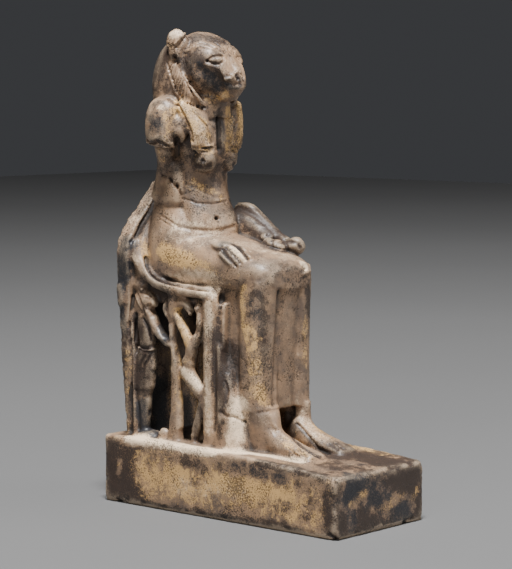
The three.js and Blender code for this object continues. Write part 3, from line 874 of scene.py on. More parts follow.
    def bent_figure(self, plain: bool) -> list[Form]:
        """Models the bent figure with raised arms, between the middle post and the front.

        Args:
            plain: Whether to leave out what only the near side shows.

        Returns:
            The new forms.
        """
        forms = [
            self.fret([(0.44, 0.87), (0.36, 0.77), (0.28, 0.65)], [1.1, 1.3, 1.6]),
            self.fret([(0.185, 0.9), (0.195, 0.77), (0.26, 0.65)], [0.8, 0.85, 1.4], 0.8),
            self.fret([(0.27, 0.7), (0.285, 0.59), (0.325, 0.5)], [1.8, 1.5, 2.2]),
            self.fret([(0.33, 0.53), (0.31, 0.46), (0.23, 0.385), (0.155, 0.315)],
                      [1.9, 2.3, 1.9, 1.3]),
            self.fret([(0.15, 0.36), (0.18, 0.22), (0.26, 0.0)], [1.3, 1.05, 1.3], 0.8),
            self.fret([(0.46, 0.8), (0.43, 0.9), (0.37, 0.94), (0.31, 0.92), (0.275, 0.86)],
                      [1.0, 1.3, 1.4, 1.2, 0.7], 0.85),
            self.fret([(0.39, 0.93), (0.4, 1.0)], [1.6, 2.0], 0.57),
            oval(self.in_side(0.2, 0.915), (self.side_thickness * 0.5, 1.15, 1.5)),
        ]
        if plain:
            return forms
        return forms + [self.fret([(0.51, 0.96), (0.535, 0.88), (0.5, 0.81)], [1.2, 0.9, 0.4], 0.8)]

    def openwork(self, plain: bool) -> list[Form]:
        """Models one openwork side, seen on the near side and plainer on the hidden one.

        Args:
            plain: Whether to leave out what only the near side shows.

        Returns:
            The new forms.
        """
        forms = [self.rim_bar(), *self.posts(), *self.standing_figure(plain), *self.bent_figure(plain)]
        if plain:
            return forms
        return forms + [
            oval(self.in_side(0.74, 0.0, 1.6), (3.2, 5.0, 1.7)),
            oval(self.in_side(0.55, 0.02, 0.8), (1.2, 1.8, 2.0)),
        ]

    def seat_block(self) -> Form:
        """Models the solid seat under the thighs.

        Returns:
            The new form.
        """
        half = (self.side - 2.4, self.seat_thickness / 2 + 2.2)
        middle = self.seat - self.seat_thickness / 2 + 2.2
        return loft([((0, self.face + 1, middle), half, 8), ((0, self.front + 0.6, middle), half, 8)],
                    up=Z, sides=72)

    def front_wall(self) -> list[Form]:
        """Models the wall behind the legs, its web to the posts and the worn mass at its foot.

        Returns:
            The new forms.
        """
        low = float(self.plinth.top(self.front)) - 1
        reach = 5
        neck = self.front + self.wall_thickness / 2 - reach / 2
        deep = (self.wall_thickness + reach) / 2
        wall = loft([((0, neck, low), (self.wall_half, deep), 6),
                     ((0, neck, self.seat + 3), (self.wall_half, deep), 6)], sides=64)
        panel = self.front + self.front_post / 2 + 0.4
        half = (self.side - self.side_thickness / 2, self.wall_thickness / 2)
        web = loft([((0, panel, low), half, 6), ((0, panel, self.seat), half, 6)], sides=64)
        base = self.plinth.height
        foot = loft([
            ((-9.0, self.front - 2.8, low), (4.6, 6.3), 2.4),
            ((-9.3, self.front - 2.2, base + 4), (3.9, 5.0), 2.6),
            ((-9.3, self.front - 1.6, base + 11), (3.5, 4.0), 2.6),
            ((-9.0, self.front - 0.8, base + 17.5), (3.0, 2.8), 2.6),
            ((-8.8, self.front + 0.6, base + 24), (2.4, 1.6), 2),
        ])
        fillet = loft([((-10.6, self.front + 0.3, low), (1.7, 1.6), 2.2),
                       ((-10.6, self.front + 0.3, self.seat - 1.5), (1.7, 1.6), 2.2)])
        return [wall, web, *paired(foot, fillet)]

    def cuts(self) -> list[Cut]:
        """Lines of the throne: the line under the thigh and the openwork figures' details.

        Returns:
            The cuts.
        """
        return [
            Cut(((145.5, 258), (147, 266), (150, 274), (157, 279.5), (172, 284), (190, 288), (208, 290.5)),
                -0.8, 0.42, True),
            Cut(((156, 185), (154.6, 198), (149.3, 210), (141, 224.6), (136, 236), (131.4, 241.6)),
                -0.5, 0.4, True),
            Cut(((135.6, 295), (139, 304), (143.6, 311)), 0.25, 0.35),
            Cut(((137.8, 294), (141.4, 303), (145.4, 309)), -0.3, 0.26),
            Cut(((146, 298), (148.5, 298.5)), -0.4, 0.25),
            Cut(((147, 306), (151, 305)), -0.35, 0.22),
            Cut(((136.7, 344.6), (143.6, 349), (150.5, 349)), -0.35, 0.22),
            Cut(((136.5, 347.6), (143.6, 352), (151, 352)), -0.35, 0.22),
            Cut(((149.5, 357), (145, 364), (142.4, 374)), -0.3, 0.26),
            Cut(((145.5, 355), (141.5, 362), (139, 372)), -0.3, 0.26),
            Cut(((136.5, 314), (136.5, 328), (136, 341)), -0.6, 0.35),
            Cut(((133.5, 296), (131.5, 308), (129.5, 320), (129, 336)), -0.6, 0.4),
            Cut(((143, 318), (148, 328), (152, 340)), -0.6, 0.35),
            Cut(((140, 292), (146, 293), (150, 296)), -0.5, 0.4),
            Cut(((130.5, 385), (131.5, 405), (131.5, 432)), -0.6, 0.4),
            Cut(((136, 390), (139, 410), (139.5, 430)), -0.3, 0.3),
            Cut(((218, 348), (218, 380), (220, 420)), 0.25, 0.8),
            Cut(((225, 382), (228, 392), (226, 404)), -0.35, 0.35),
            Cut(((224, 352), (228, 362), (227, 372)), -0.25, 0.5),
            Cut(((221, 412), (226, 416), (232, 417)), -0.35, 0.4),
            Cut(((131, 340), (131, 370), (130.5, 400), (129.5, 430)), -0.6, 0.5),
            Cut(((214.8, 300), (214.6, 340), (214.4, 380), (214.2, 430)), -0.3, 0.6),
            Cut(((221, 296), (220, 312), (220, 330), (219, 342)), -0.5, 0.6),
        ]

    def stains(self) -> list[Stain]:
        """Tones of the throne's side, its back and its hollow, with painted shade in its gaps and crevices.

        Returns:
            The stains, each laid over those before it.
        """
        bare, ochre, pale, dark, blue = Tone
        return [
            bare.both(4.0, 1.0, (150, 192), (140, 212), (126, 232)),
            pale.both(2.4, 0.3, (149, 196), (138, 212), (126, 230)),
            # Painted shadow along the inner edge of the band, against the hip.
            dark.both(0.6, 0.8, (157, 186), (151, 212), (137, 238)),
            # Painted shade in the crevice between the thigh and the rim bar.
            dark.both(0.5, 0.9, (147, 266), (150, 274), (172, 284), (208, 290.5)),
            ochre.near(2.2, 0.55, (136, 243), (144, 256)),
            blue.near(2.8, 0.95, (127, 244), (124, 262), (123, 280), (124, 300)),
            blue.near(2.0, 0.9, (119, 270), (118, 290), (119, 302)),
            dark.near(2.8, 1.0, (122, 310), (122, 332)),
            blue.near(2.2, 0.9, (122, 312), (122, 328)),
            dark.near(2.2, 0.95, (124, 340), (125, 360), (126, 390)),
            dark.near(2.2, 0.8, (127, 392), (128, 410), (128, 432)),
            bare.near(1.5, 1.0, (133, 256), (150, 284), (175, 291), (200, 296)),
            pale.near(1.0, 0.4, (133, 256), (150, 283), (175, 290), (200, 295)),
            # Painted shade: the throne's inside, seen through the openwork's gaps and between the bent
            # figure's limbs, is painted dark and blue-black.
            *coats(((158, 300), (158, 345)), {dark: (7.5, 1.0), blue: (5.0, 0.9)}),
            *coats(((155, 380), (157, 425)), {dark: (6.5, 1.0), blue: (4.5, 0.9)}),
            dark.near(2.5, 1.0, (184, 405), (186, 430)),
            dark.near(2.5, 1.0, (197, 405), (198, 432)),
            # Painted shade under the rim, at the top of the openwork.
            dark.near(1.2, 0.7, (176, 304), (186, 306), (198, 307)),
            pale.near(1.5, 0.65, (204, 296), (213, 297)),
            bare.near(3.8, 1.0, (140, 300), (144, 330), (140, 400)),
            dark.near(3.2, 0.8, (142, 312), (143, 328), (143, 346)),
            dark.near(3.6, 0.8, (143, 352), (142, 380), (141, 402)),
            # Painted shade in the slot beside the standing figure.
            dark.near(0.7, 0.9, (136.5, 314), (136, 341)),
            ochre.near(1.4, 0.35, (128, 350), (128, 430)),
            bare.near(1.3, 0.5, (138, 300), (143, 314), (152, 318)),
            dark.near(4.2, 1.0, (142, 406), (147, 420), (149, 434)),
            blue.near(3.4, 0.95, (143, 410), (148, 432)),
            dark.near(1.8, 0.3, (172, 330), (173, 430)),
            ochre.near(1.0, 0.4, (171, 340), (170, 430)),
            pale.near(1.4, 0.7, (184, 372), (200, 387)),
            *coats(((180, 312), (184, 330), (184, 356)), {bare: (3.0, 1.0), ochre: (2.0, 0.6)}),
            *coats(((208, 306), (208, 430)), {bare: (2.2, 1.0), ochre: (1.9, 0.5), pale: (1.5, 0.5)}),
            # Painted shade in the crevice beside the front post.
            dark.near(1.3, 0.6, (221, 298), (220, 335)),
            dark.near(2.4, 0.7, (217, 340), (218, 380), (222, 400)),
            bare.near(2.2, 1.0, (232, 310), (234, 350)),
            dark.near(3.2, 0.8, (230, 352), (229, 396)),
            bare.near(3.2, 1.0, (236, 400), (230, 436)),
            dark.near(2.4, 0.6, (222, 380), (220, 430)),
            pale.near(2.6, 0.7, (240, 405), (234, 436)),
        ]

    def build(self) -> list[Form]:
        """Models the whole throne.

        Returns:
            The new forms.
        """
        far = mirrored(plain := self.openwork(True))
        for form in plain:
            bpy.data.objects.remove(form)
        return [*self.back_slab(), self.seat_block(), *self.front_wall(), *self.openwork(False), *far]


@dataclass(frozen=True)
class Goddess:
    """The seated body in its tight dress, up to the neck, with arms broken at the elbows."""

    throne: Throne
    knee_overhang: float = 13.4
    leg_spread: float = 6.1
    foot_length: float = 22.0
    hem_height: float = 9.4

    @property
    def knee(self) -> float:
        """Front of the knees along Y."""
        return self.throne.front - self.knee_overhang

    def seated(self, forms: Sequence[Form]) -> list[Form]:
        """Moves forms drawn from the seat and the throne's back to their place."""
        return shifted(forms, (0, self.throne.face, self.throne.seat))

    def lap(self) -> list[Form]:
        """Models the hips, thighs and lap.

        Returns:
            The new forms.
        """
        seat = self.throne.seat
        hip = self.throne.face - 0.4
        rows = [
            (0.0, 10.5, 9.5), (0.12, 14.0, 11.6), (0.3, 15.6, 12.3), (0.55, 13.9, 12.1),
            (0.76, 11.6, 11.4), (0.9, 10.2, 10.3), (0.97, 8.8, 9.0), (1.0, 7.2, 7.2),
        ]
        sections: list[Section] = []
        for share, top, half in rows:
            bottom = 0.2 + max(share - 0.85, 0) * 12
            height = (top - bottom) / 2
            y = hip + (self.knee - hip) * share
            sections.append(((0, y, seat + bottom + height), (half, height), 2.7))
        thighs = loft(sections, up=Z, sides=72, rows=60)
        hips = loft([
            (body(0, 9.6, 4), (12.4, 10.2), 2.6),
            (body(0, 9.4, 11.5), (12.2, 9.8), 2.6),
            (body(0, 8.6, 17.5), (11.0, 8.6), 2.5),
            (body(0, 7.2, 22.5), (9.2, 7.2), 2.4),
            (body(0, 5.6, 29), (6.2, 5.4), 2.4),
        ], sides=56)
        return [thighs, *self.seated([hips])]

    def legs(self) -> list[Form]:
        """Models the lower legs down to the hem, and the ankles and heel below.

        Returns:
            The new forms.
        """
        plinth, seat = self.throne.plinth, self.throne.seat
        axis = self.knee + 5.6
        hem = plinth.height + self.hem_height
        rise = seat + 4 - hem
        ground = float(plinth.top(axis)) - 0.5
        spread = self.leg_spread
        leg = loft([
            ((-spread, axis, hem), (4.5, 4.9), 2.2),
            ((-spread, axis, hem + rise * 0.45), (4.5, 4.8), 2.2),
            ((-spread + 0.2, axis, hem + rise), (4.6, 5.5), 2.3),
        ], sides=48, rows=50)
        near_ankle = loft([
            ((-spread + 0.2, axis - 0.8, ground), (3.6, 7.0), 2.2),
            ((-spread + 0.1, axis - 0.8, plinth.height + 4), (3.7, 6.0), 2.2),
            ((-spread, axis - 0.3, hem + 1), (4.3, 5.1), 2.2),
        ])
        far_ankle = loft([
            ((spread + 0.8, axis - 3.6, ground), (2.4, 3.4), 2),
            ((spread + 0.8, axis - 3.8, plinth.height + 4), (2.1, 2.0), 2),
            ((spread + 0.8, axis - 3.6, hem + 1), (2.1, 1.8), 2),
        ])
        heel = loft([((spread + 0.6, axis + 2, ground), (3.9, 4.6), 3),
                     ((spread + 0.2, axis + 2, hem + 1), (2.9, 3.4), 3)])
        between = loft([((0, axis - 0.4, hem), (spread, 3.7), 2),
                        ((0, axis - 0.3, seat + 4), (spread + 0.5, 4.9), 2.6)])
        return [*paired(leg), near_ankle, far_ankle, heel, between]

    def feet(self) -> list[Form]:
        """Models the two bare feet, flat on the plinth.

        Returns:
            The new forms.
        """
        heel = self.knee + 7.8
        rows = [
            (0.1, 6.2, 2.8), (0.3, 7.4, 2.9), (0.42, 5.3, 3.0), (0.56, 4.0, 3.2),
            (0.74, 2.8, 3.4), (0.94, 1.6, 3.6), (1.0, 0.7, 2.9),
        ]
        sections: list[Section] = []
        for share, rise, half in rows:
            y = heel - share * self.foot_length
            bottom = float(self.throne.plinth.top(y)) - 1
            height = (rise + 1) / 2
            sections.append(((-self.leg_spread, y, bottom + height), (half, height), 2.4))
        foot = loft(sections, up=Z, rows=44)
        return paired(foot)

    def torso(self) -> list[Form]:
        """Models the waist, ribs, shoulders and breasts, and the slim pillar at the back.

        Returns:
            The new forms.
        """
        trunk = loft([
            (body(0, 14.0, 8), (9.6, 7.0), 2), (body(0, 14.9, 15), (8.8, 6.2), 2),
            (body(0, 14.6, 19), (8.2, 5.6), 2), (body(0, 13.1, 23), (7.6, 5.2), 2),
            (body(0, 12.6, 29), (7.2, 4.9), 2), (body(0, 13.6, 37), (8.6, 5.6), 2),
            (body(0, 12.9, 43), (9.8, 5.6), 2), (body(0, 11.8, 47), (9.0, 5.2), 2),
            (body(0, 11.2, 50), (6.4, 5.4), 2),
        ], sides=56, rows=60)
        breast = oval(body(-4.0, 16.7, 33.6), (3.3, 2.8, 3.5))
        collar = oval(body(0, 14.2, 46.2), (7.0, 4.4, 4.6))
        pillar = loft([
            (body(0, 4.2, 20), (4.0, 4.6), 4), (body(0, 5.2, 32), (3.0, 4.6), 4),
            (body(0, 6.0, 48), (4.2, 5.0), 4),
        ])
        return self.seated([trunk, *paired(breast), collar, pillar])

    def arms(self) -> list[Form]:
        """Models both upper arms, broken off at the elbow, and the web below each break.

        Returns:
            The new forms.
        """
        arm = loft([
            (body(-12.0, 9.3, 37.0), (3.2, 4.4), 2), (body(-12.1, 9.2, 41.5), (3.3, 4.5), 2),
            (body(-11.6, 9.4, 45.6), (3.2, 4.4), 2), (body(-10.7, 9.8, 48.2), (2.7, 3.4), 2),
            (body(-9.8, 10.2, 49.4), (1.4, 1.6), 2),
        ], up=np.array((0.0, 1.0, 0.16)))
        inner = oval(body(-10.3, 12.0, 41.4), (2.9, 4.3, 4.4), -10)
        web = limb([
            body(-10.9, 9.2, 38.5), body(-9.2, 8.0, 33), body(-8.2, 6.4, 28), body(-7.4, 4.2, 22),
        ], [(2.6, 3.3), (1.9, 2.3), (2.0, 2.4), (2.4, 3.0)], Y)
        fill = limb([body(-7.6, 9.8, 34), body(-7.6, 9.5, 29), body(-7.6, 8.4, 21)],
                    [(1.8, 2.8), (2.6, 3.8), (2.6, 4.4)], Y)
        return self.seated(paired(arm, inner, web, fill))

    def far_hand(self) -> list[Form]:
        """Models the forearm's remnant and the closed hand on the far thigh.

        Returns:
            The new forms.
        """
        ridge = loft([
            (body(10.4, 15.2, 16.9), (1.8, 5.2), 3.2), (body(10.5, 19.6, 16.4), (1.8, 5.4), 3.2),
            (body(10.3, 24.6, 14.4), (1.8, 4.2), 3.0), (body(9.8, 29.8, 12.3), (1.8, 2.8), 2.6),
            (body(9.2, 33.2, 11.8), (1.9, 2.1), 2.2),
        ], up=Z)
        slope = loft([(body(8.2, 15.5, 15.6), (3.0, 5.2), 2.4), (body(8.4, 22.4, 14.2), (2.8, 4.4), 2.4),
                      (body(8.3, 29.5, 11.9), (2.2, 2.6), 2.2)], up=Z)
        fist = oval(body(8.7, 36.2, 11.9), (2.3, 2.5, 2.3))
        roll = limb([body(6.2, 33.2, 11.4), body(8.2, 37.8, 12.2)], [(1.1, 1.1), (1.5, 1.5)], Z)
        thumb = oval(body(5.4, 31.8, 11.8), (2.1, 3.6, 1.8), 0, 12)
        return self.seated([ridge, slope, fist, roll, thumb])

    def near_hand(self) -> list[Form]:
        """Models the hand that lies flat on the near thigh, with its four fingers.

        Returns:
            The new forms.
        """
        palm = oval(body(-7.7, 26.8, 12.2), (2.7, 3.4, 1.4), 6, 16)
        fingers = [limb(line, [(0.75, 0.75), (0.7, 0.7), (0.55, 0.55)], Z) for line in (
            [body(-5.8, 29.6, 12.2), body(-7.2, 33.0, 11.2), body(-8.6, 36.2, 9.7)],
            [body(-7.2, 28.9, 12.2), body(-8.5, 32.1, 10.9), body(-9.5, 35.1, 9.3)],
            [body(-8.7, 28.1, 11.6), body(-9.8, 31.1, 10.2), body(-10.4, 34.0, 8.6)],
            [body(-10.2, 27.4, 10.9), body(-10.9, 30.2, 9.5), body(-11.2, 32.8, 7.9)],
        )]
        return self.seated([palm, *fingers])

    def cuts(self) -> list[Cut]:
        """Lines of the body: grooves, breaks, belt, navel, creases and fingers.

        Returns:
            The cuts.
        """
        return [
            Cut(((168.3, 98.6), (177.8, 105.3), (183.6, 115), (187.4, 123.5), (191.2, 133),
                 (192, 141.7)), -0.75, 0.42, True),
            Cut(((193, 147.4), (203, 148.2), (212, 147.4)), -0.45, 0.25, True),
            Cut(((193, 151), (203, 152), (212, 151)), -0.45, 0.25, True),
            Cut(((202.7, 160.8), (203.2, 161)), -0.6, 0.4, True),
            Cut(((218, 118), (219, 130), (219.5, 149)), -0.9, 0.6),
            Cut(((214.5, 130), (215.5, 140), (216.5, 150)), -0.3, 0.4),
            Cut(((193, 112), (207, 126), (212.5, 146)), -0.3, 0.3, True),
            Cut(((196, 166), (203, 168.5), (210, 166)), -0.35, 0.7, True),
            Cut(((145.8, 139), (149, 143.6), (158.7, 142.6), (164.4, 145), (173, 149)), -0.6, 0.45),
            Cut(((177, 139), (178.2, 144), (178.4, 149)), -1.1, 0.7, True),
            Cut(((186, 184), (200, 190), (214, 197), (224, 198)), -0.25, 0.3),
            Cut(((181.7, 198), (197, 203), (214, 204), (226.6, 201)), -0.35, 0.28),
            Cut(((190, 187), (203, 194), (218, 200)), 0.2, 0.9),
            Cut(((216.5, 218.2), (217.5, 218.2)), -1.3, 0.42),
            Cut(((160.6, 175.2), (168.3, 177), (172, 182.8), (176.9, 186.6), (181.7, 195.3)), -0.5, 0.28),
            Cut(((170, 180), (170.4, 180.2)), -0.9, 0.5),
            Cut(((176.4, 186), (176.8, 186.2)), -0.9, 0.5),
            Cut(((161, 215.7), (168, 220), (176, 225.5)), -0.35, 0.3),
            Cut(((160, 219), (166, 223), (173, 227.5)), -0.25, 0.25),
            Cut(((177.9, 226.4), (190.4, 229), (208, 230.9), (221.6, 230.4), (235, 226.4)), -0.35, 0.5),
            Cut(((234.9, 245.8), (241, 251.4), (247.2, 259.3)), -0.45, 0.3),
            Cut(((228.5, 248.6), (234.8, 254.9), (241.3, 263.2)), -0.45, 0.3),
            Cut(((222.8, 251.8), (228.8, 258.9), (236, 266.8)), -0.45, 0.3),
            Cut(((279, 292), (277.5, 320), (276, 349), (274.5, 380), (274, 404)), -0.5, 0.9),
            Cut(((258, 413), (268, 411), (280, 409)), -0.25, 0.3),
            Cut(((264, 238), (271, 244), (281, 249)), 0.7, 1.2),
            Cut(((268, 235), (266, 244)), -0.2, 0.3),
            Cut(((274, 239), (272, 249)), -0.2, 0.3),
            Cut(((291, 242), (297, 243), (300, 247)), -0.25, 0.5),
            Cut(((286, 236), (285, 243), (288, 250)), -0.25, 0.35),
            Cut(((304, 267), (305.5, 269)), -0.6, 0.5),
            Cut(((301, 262), (309, 265), (310, 271), (303, 274)), 0.3, 0.4),
            Cut(((234, 417), (240, 420), (246, 422)), -0.35, 0.3),
            Cut(((297, 424), (304, 430), (311, 440), (318, 448), (329, 454)), -0.45, 0.4),
            Cut(((293, 438.5), (302, 448), (312, 454.5), (319, 457.5)), -0.4, 0.35),
            Cut(((330, 444), (338, 450)), -0.35, 0.3),
            Cut(((335, 443), (344, 449)), -0.35, 0.3),
            Cut(((296, 449), (306, 456)), -0.3, 0.3),
            Cut(((290, 450), (299, 457)), -0.3, 0.3),
            Cut(((269.5, 416), (273, 424), (284, 436), (296, 446), (312, 457)), 0.3, 0.5),
        ]

    def stains(self) -> list[Stain]:
        """Tones of the body, the lap and the legs, with painted shade in their hollows and creases and
        painted highlights on their tops.

        Returns:
            The stains, each laid over those before it.
        """
        bare, ochre, pale, dark, blue = Tone
        trunk = [
            bare.both(9.0, 0.8, (160, 110), (165, 140), (190, 165), (205, 185), (215, 210)),
            blue.both(3.0, 0.75, (152, 112), (157, 124), (153, 136)),
            dark.both(1.6, 0.5, (150, 108), (158, 104)),
            ochre.both(1.8, 0.45, (167, 112), (171, 125), (169, 141)),
            dark.both(1.0, 0.5, (171, 116), (174, 128), (173, 140)),
            # Painted highlight on the top of the arm.
            pale.both(1.0, 0.5, (160, 107), (161, 108)),
            ochre.both(2.6, 0.9, (181, 104), (191, 114), (199, 129), (203, 145)),
            pale.near(1.8, 0.4, (184, 104), (195, 117), (202, 134), (204, 145)),
            dark.both(1.2, 0.6, (183, 122), (187, 133), (188, 142)),
            bare.near(3.0, 1.0, (229, 114), (229, 146)),
            ochre.near(2.2, 0.6, (228, 114), (229, 146)),
            ochre.both(2.6, 0.65, (200, 158), (206, 158)),
            # Painted shade under the breasts.
            dark.both(1.6, 0.5, (200, 166), (206, 166)),
            # Painted shade in the deep recess between the lappets.
            dark.near(1.5, 1.0, (218, 116), (219, 130), (220, 149)),
            dark.near(1.8, 0.3, (214, 108), (214, 124)),
            dark.both(3.0, 0.5, (196, 154), (206, 160), (214, 164)),
            # Painted shade in the hole between the arm and the torso.
            dark.both(1.2, 1.0, (178, 140), (178.5, 152)),
            dark.near(3.4, 0.35, (186, 160), (200, 172), (216, 180), (222, 170)),
            ochre.near(2.1, 0.95, (190, 187), (205, 194), (221, 200)),
            dark.both(3.4, 0.6, (158, 146), (163, 160), (168, 174)),
            ochre.near(1.2, 0.35, (158, 150), (162, 160)),
            ochre.near(4.0, 0.35, (190, 212), (215, 212), (228, 214)),
            dark.near(5.0, 0.75, (184, 210), (205, 214), (226, 214)),
            # Painted highlight along the belly's edge under the step.
            pale.near(1.3, 0.35, (184, 203), (200, 206)),
        ]
        lap = [
            bare.near(10.0, 1.0, (160, 215), (200, 235), (250, 248), (285, 256)),
            # Painted highlight on the lap's top.
            pale.near(5.0, 0.35, (180, 233), (215, 238), (250, 246), (282, 254)),
            ochre.both(2.8, 0.75, (164, 252), (176, 257), (188, 262)),
            ochre.both(2.6, 0.7, (202, 270), (214, 277), (224, 282)),
            dark.both(1.0, 0.5, (160, 277), (180, 286), (202, 290)),
            pale.near(2.6, 0.6, (180, 280), (204, 278), (220, 284)),
            blue.near(1.0, 0.3, (205, 262), (222, 269)),
            blue.near(1.9, 0.95, (224, 243), (231, 247)),
            # Painted shade in the grooves between the fingers.
            dark.near(1.1, 1.0, (228.5, 248.6), (234.8, 254.9), (241.3, 263.2)),
            dark.near(1.1, 1.0, (222.8, 251.8), (228.8, 258.9), (236, 266.8)),
            dark.near(1.0, 0.9, (234.9, 245.8), (241, 251.4), (247.2, 259.3)),
            dark.near(4.5, 0.95, (245, 206), (258, 220), (272, 232)),
            pale.near(0.8, 0.9, (231.5, 248), (237.5, 253), (243.5, 260.5)),
            dark.near(1.7, 0.8, (264, 238), (272, 245), (281, 250)),
            dark.near(2.4, 0.95, (288, 240), (298, 246)),
            dark.near(3.0, 0.5, (275, 268), (292, 272), (304, 282)),
            blue.near(1.6, 0.5, (280, 275), (290, 282)),
            ochre.near(2.2, 0.5, (236, 275), (248, 284)),
            pale.near(1.0, 0.7, (303, 264), (306, 268)),
        ]
        legs = [
            bare.near(9.0, 1.0, (250, 300), (290, 330), (255, 370), (292, 390)),
            ochre.near(1.9, 0.75, (244, 292), (246, 330)),
            dark.near(3.2, 0.85, (256, 300), (257, 350), (258, 398)),
            ochre.near(2.2, 0.5, (250, 330), (253, 360), (258, 398)),
            blue.near(1.5, 0.5, (252, 302), (256, 320)),
            # Painted shade along the groove between the legs.
            dark.near(1.3, 0.35, (283, 300), (284, 350)),
            # Painted sheen down the front of the far leg.
            pale.near(3.6, 0.16, (293, 320), (293, 360), (293, 404)),
            ochre.near(1.3, 0.6, (306, 322), (305, 362)),
            dark.near(1.2, 0.3, (305, 330), (305, 380)),
            dark.near(1.5, 0.8, (308, 292), (309, 312)),
            # Painted shade in the recess between the ankles.
            dark.near(1.6, 0.9, (288, 415), (292, 432)),
            bare.near(5.0, 1.0, (262, 418), (276, 436), (300, 450), (318, 436), (340, 446)),
            pale.near(2.0, 0.2, (262, 420), (276, 436), (300, 450)),
            # Painted shade in the foot's grooves.
            dark.near(0.7, 0.8, (297, 424), (311, 440), (329, 454)),
            dark.near(0.7, 0.7, (293, 438.5), (302, 448), (319, 457.5)),
            ochre.near(1.6, 0.5, (308, 424), (322, 436), (344, 448)),
            ochre.near(1.6, 0.5, (284, 440), (296, 450), (308, 457)),
            pale.near(2.0, 0.4, (300, 415), (318, 436), (340, 446)),
            ochre.near(1.5, 0.55, (258, 390), (266, 402)),
        ]
        return trunk + lap + legs

    def build(self) -> list[Form]:
        """Models the whole body."""
        parts = (self.lap, self.legs, self.feet, self.torso, self.arms, self.far_hand, self.near_hand)
        return [form for part in parts for form in part()]


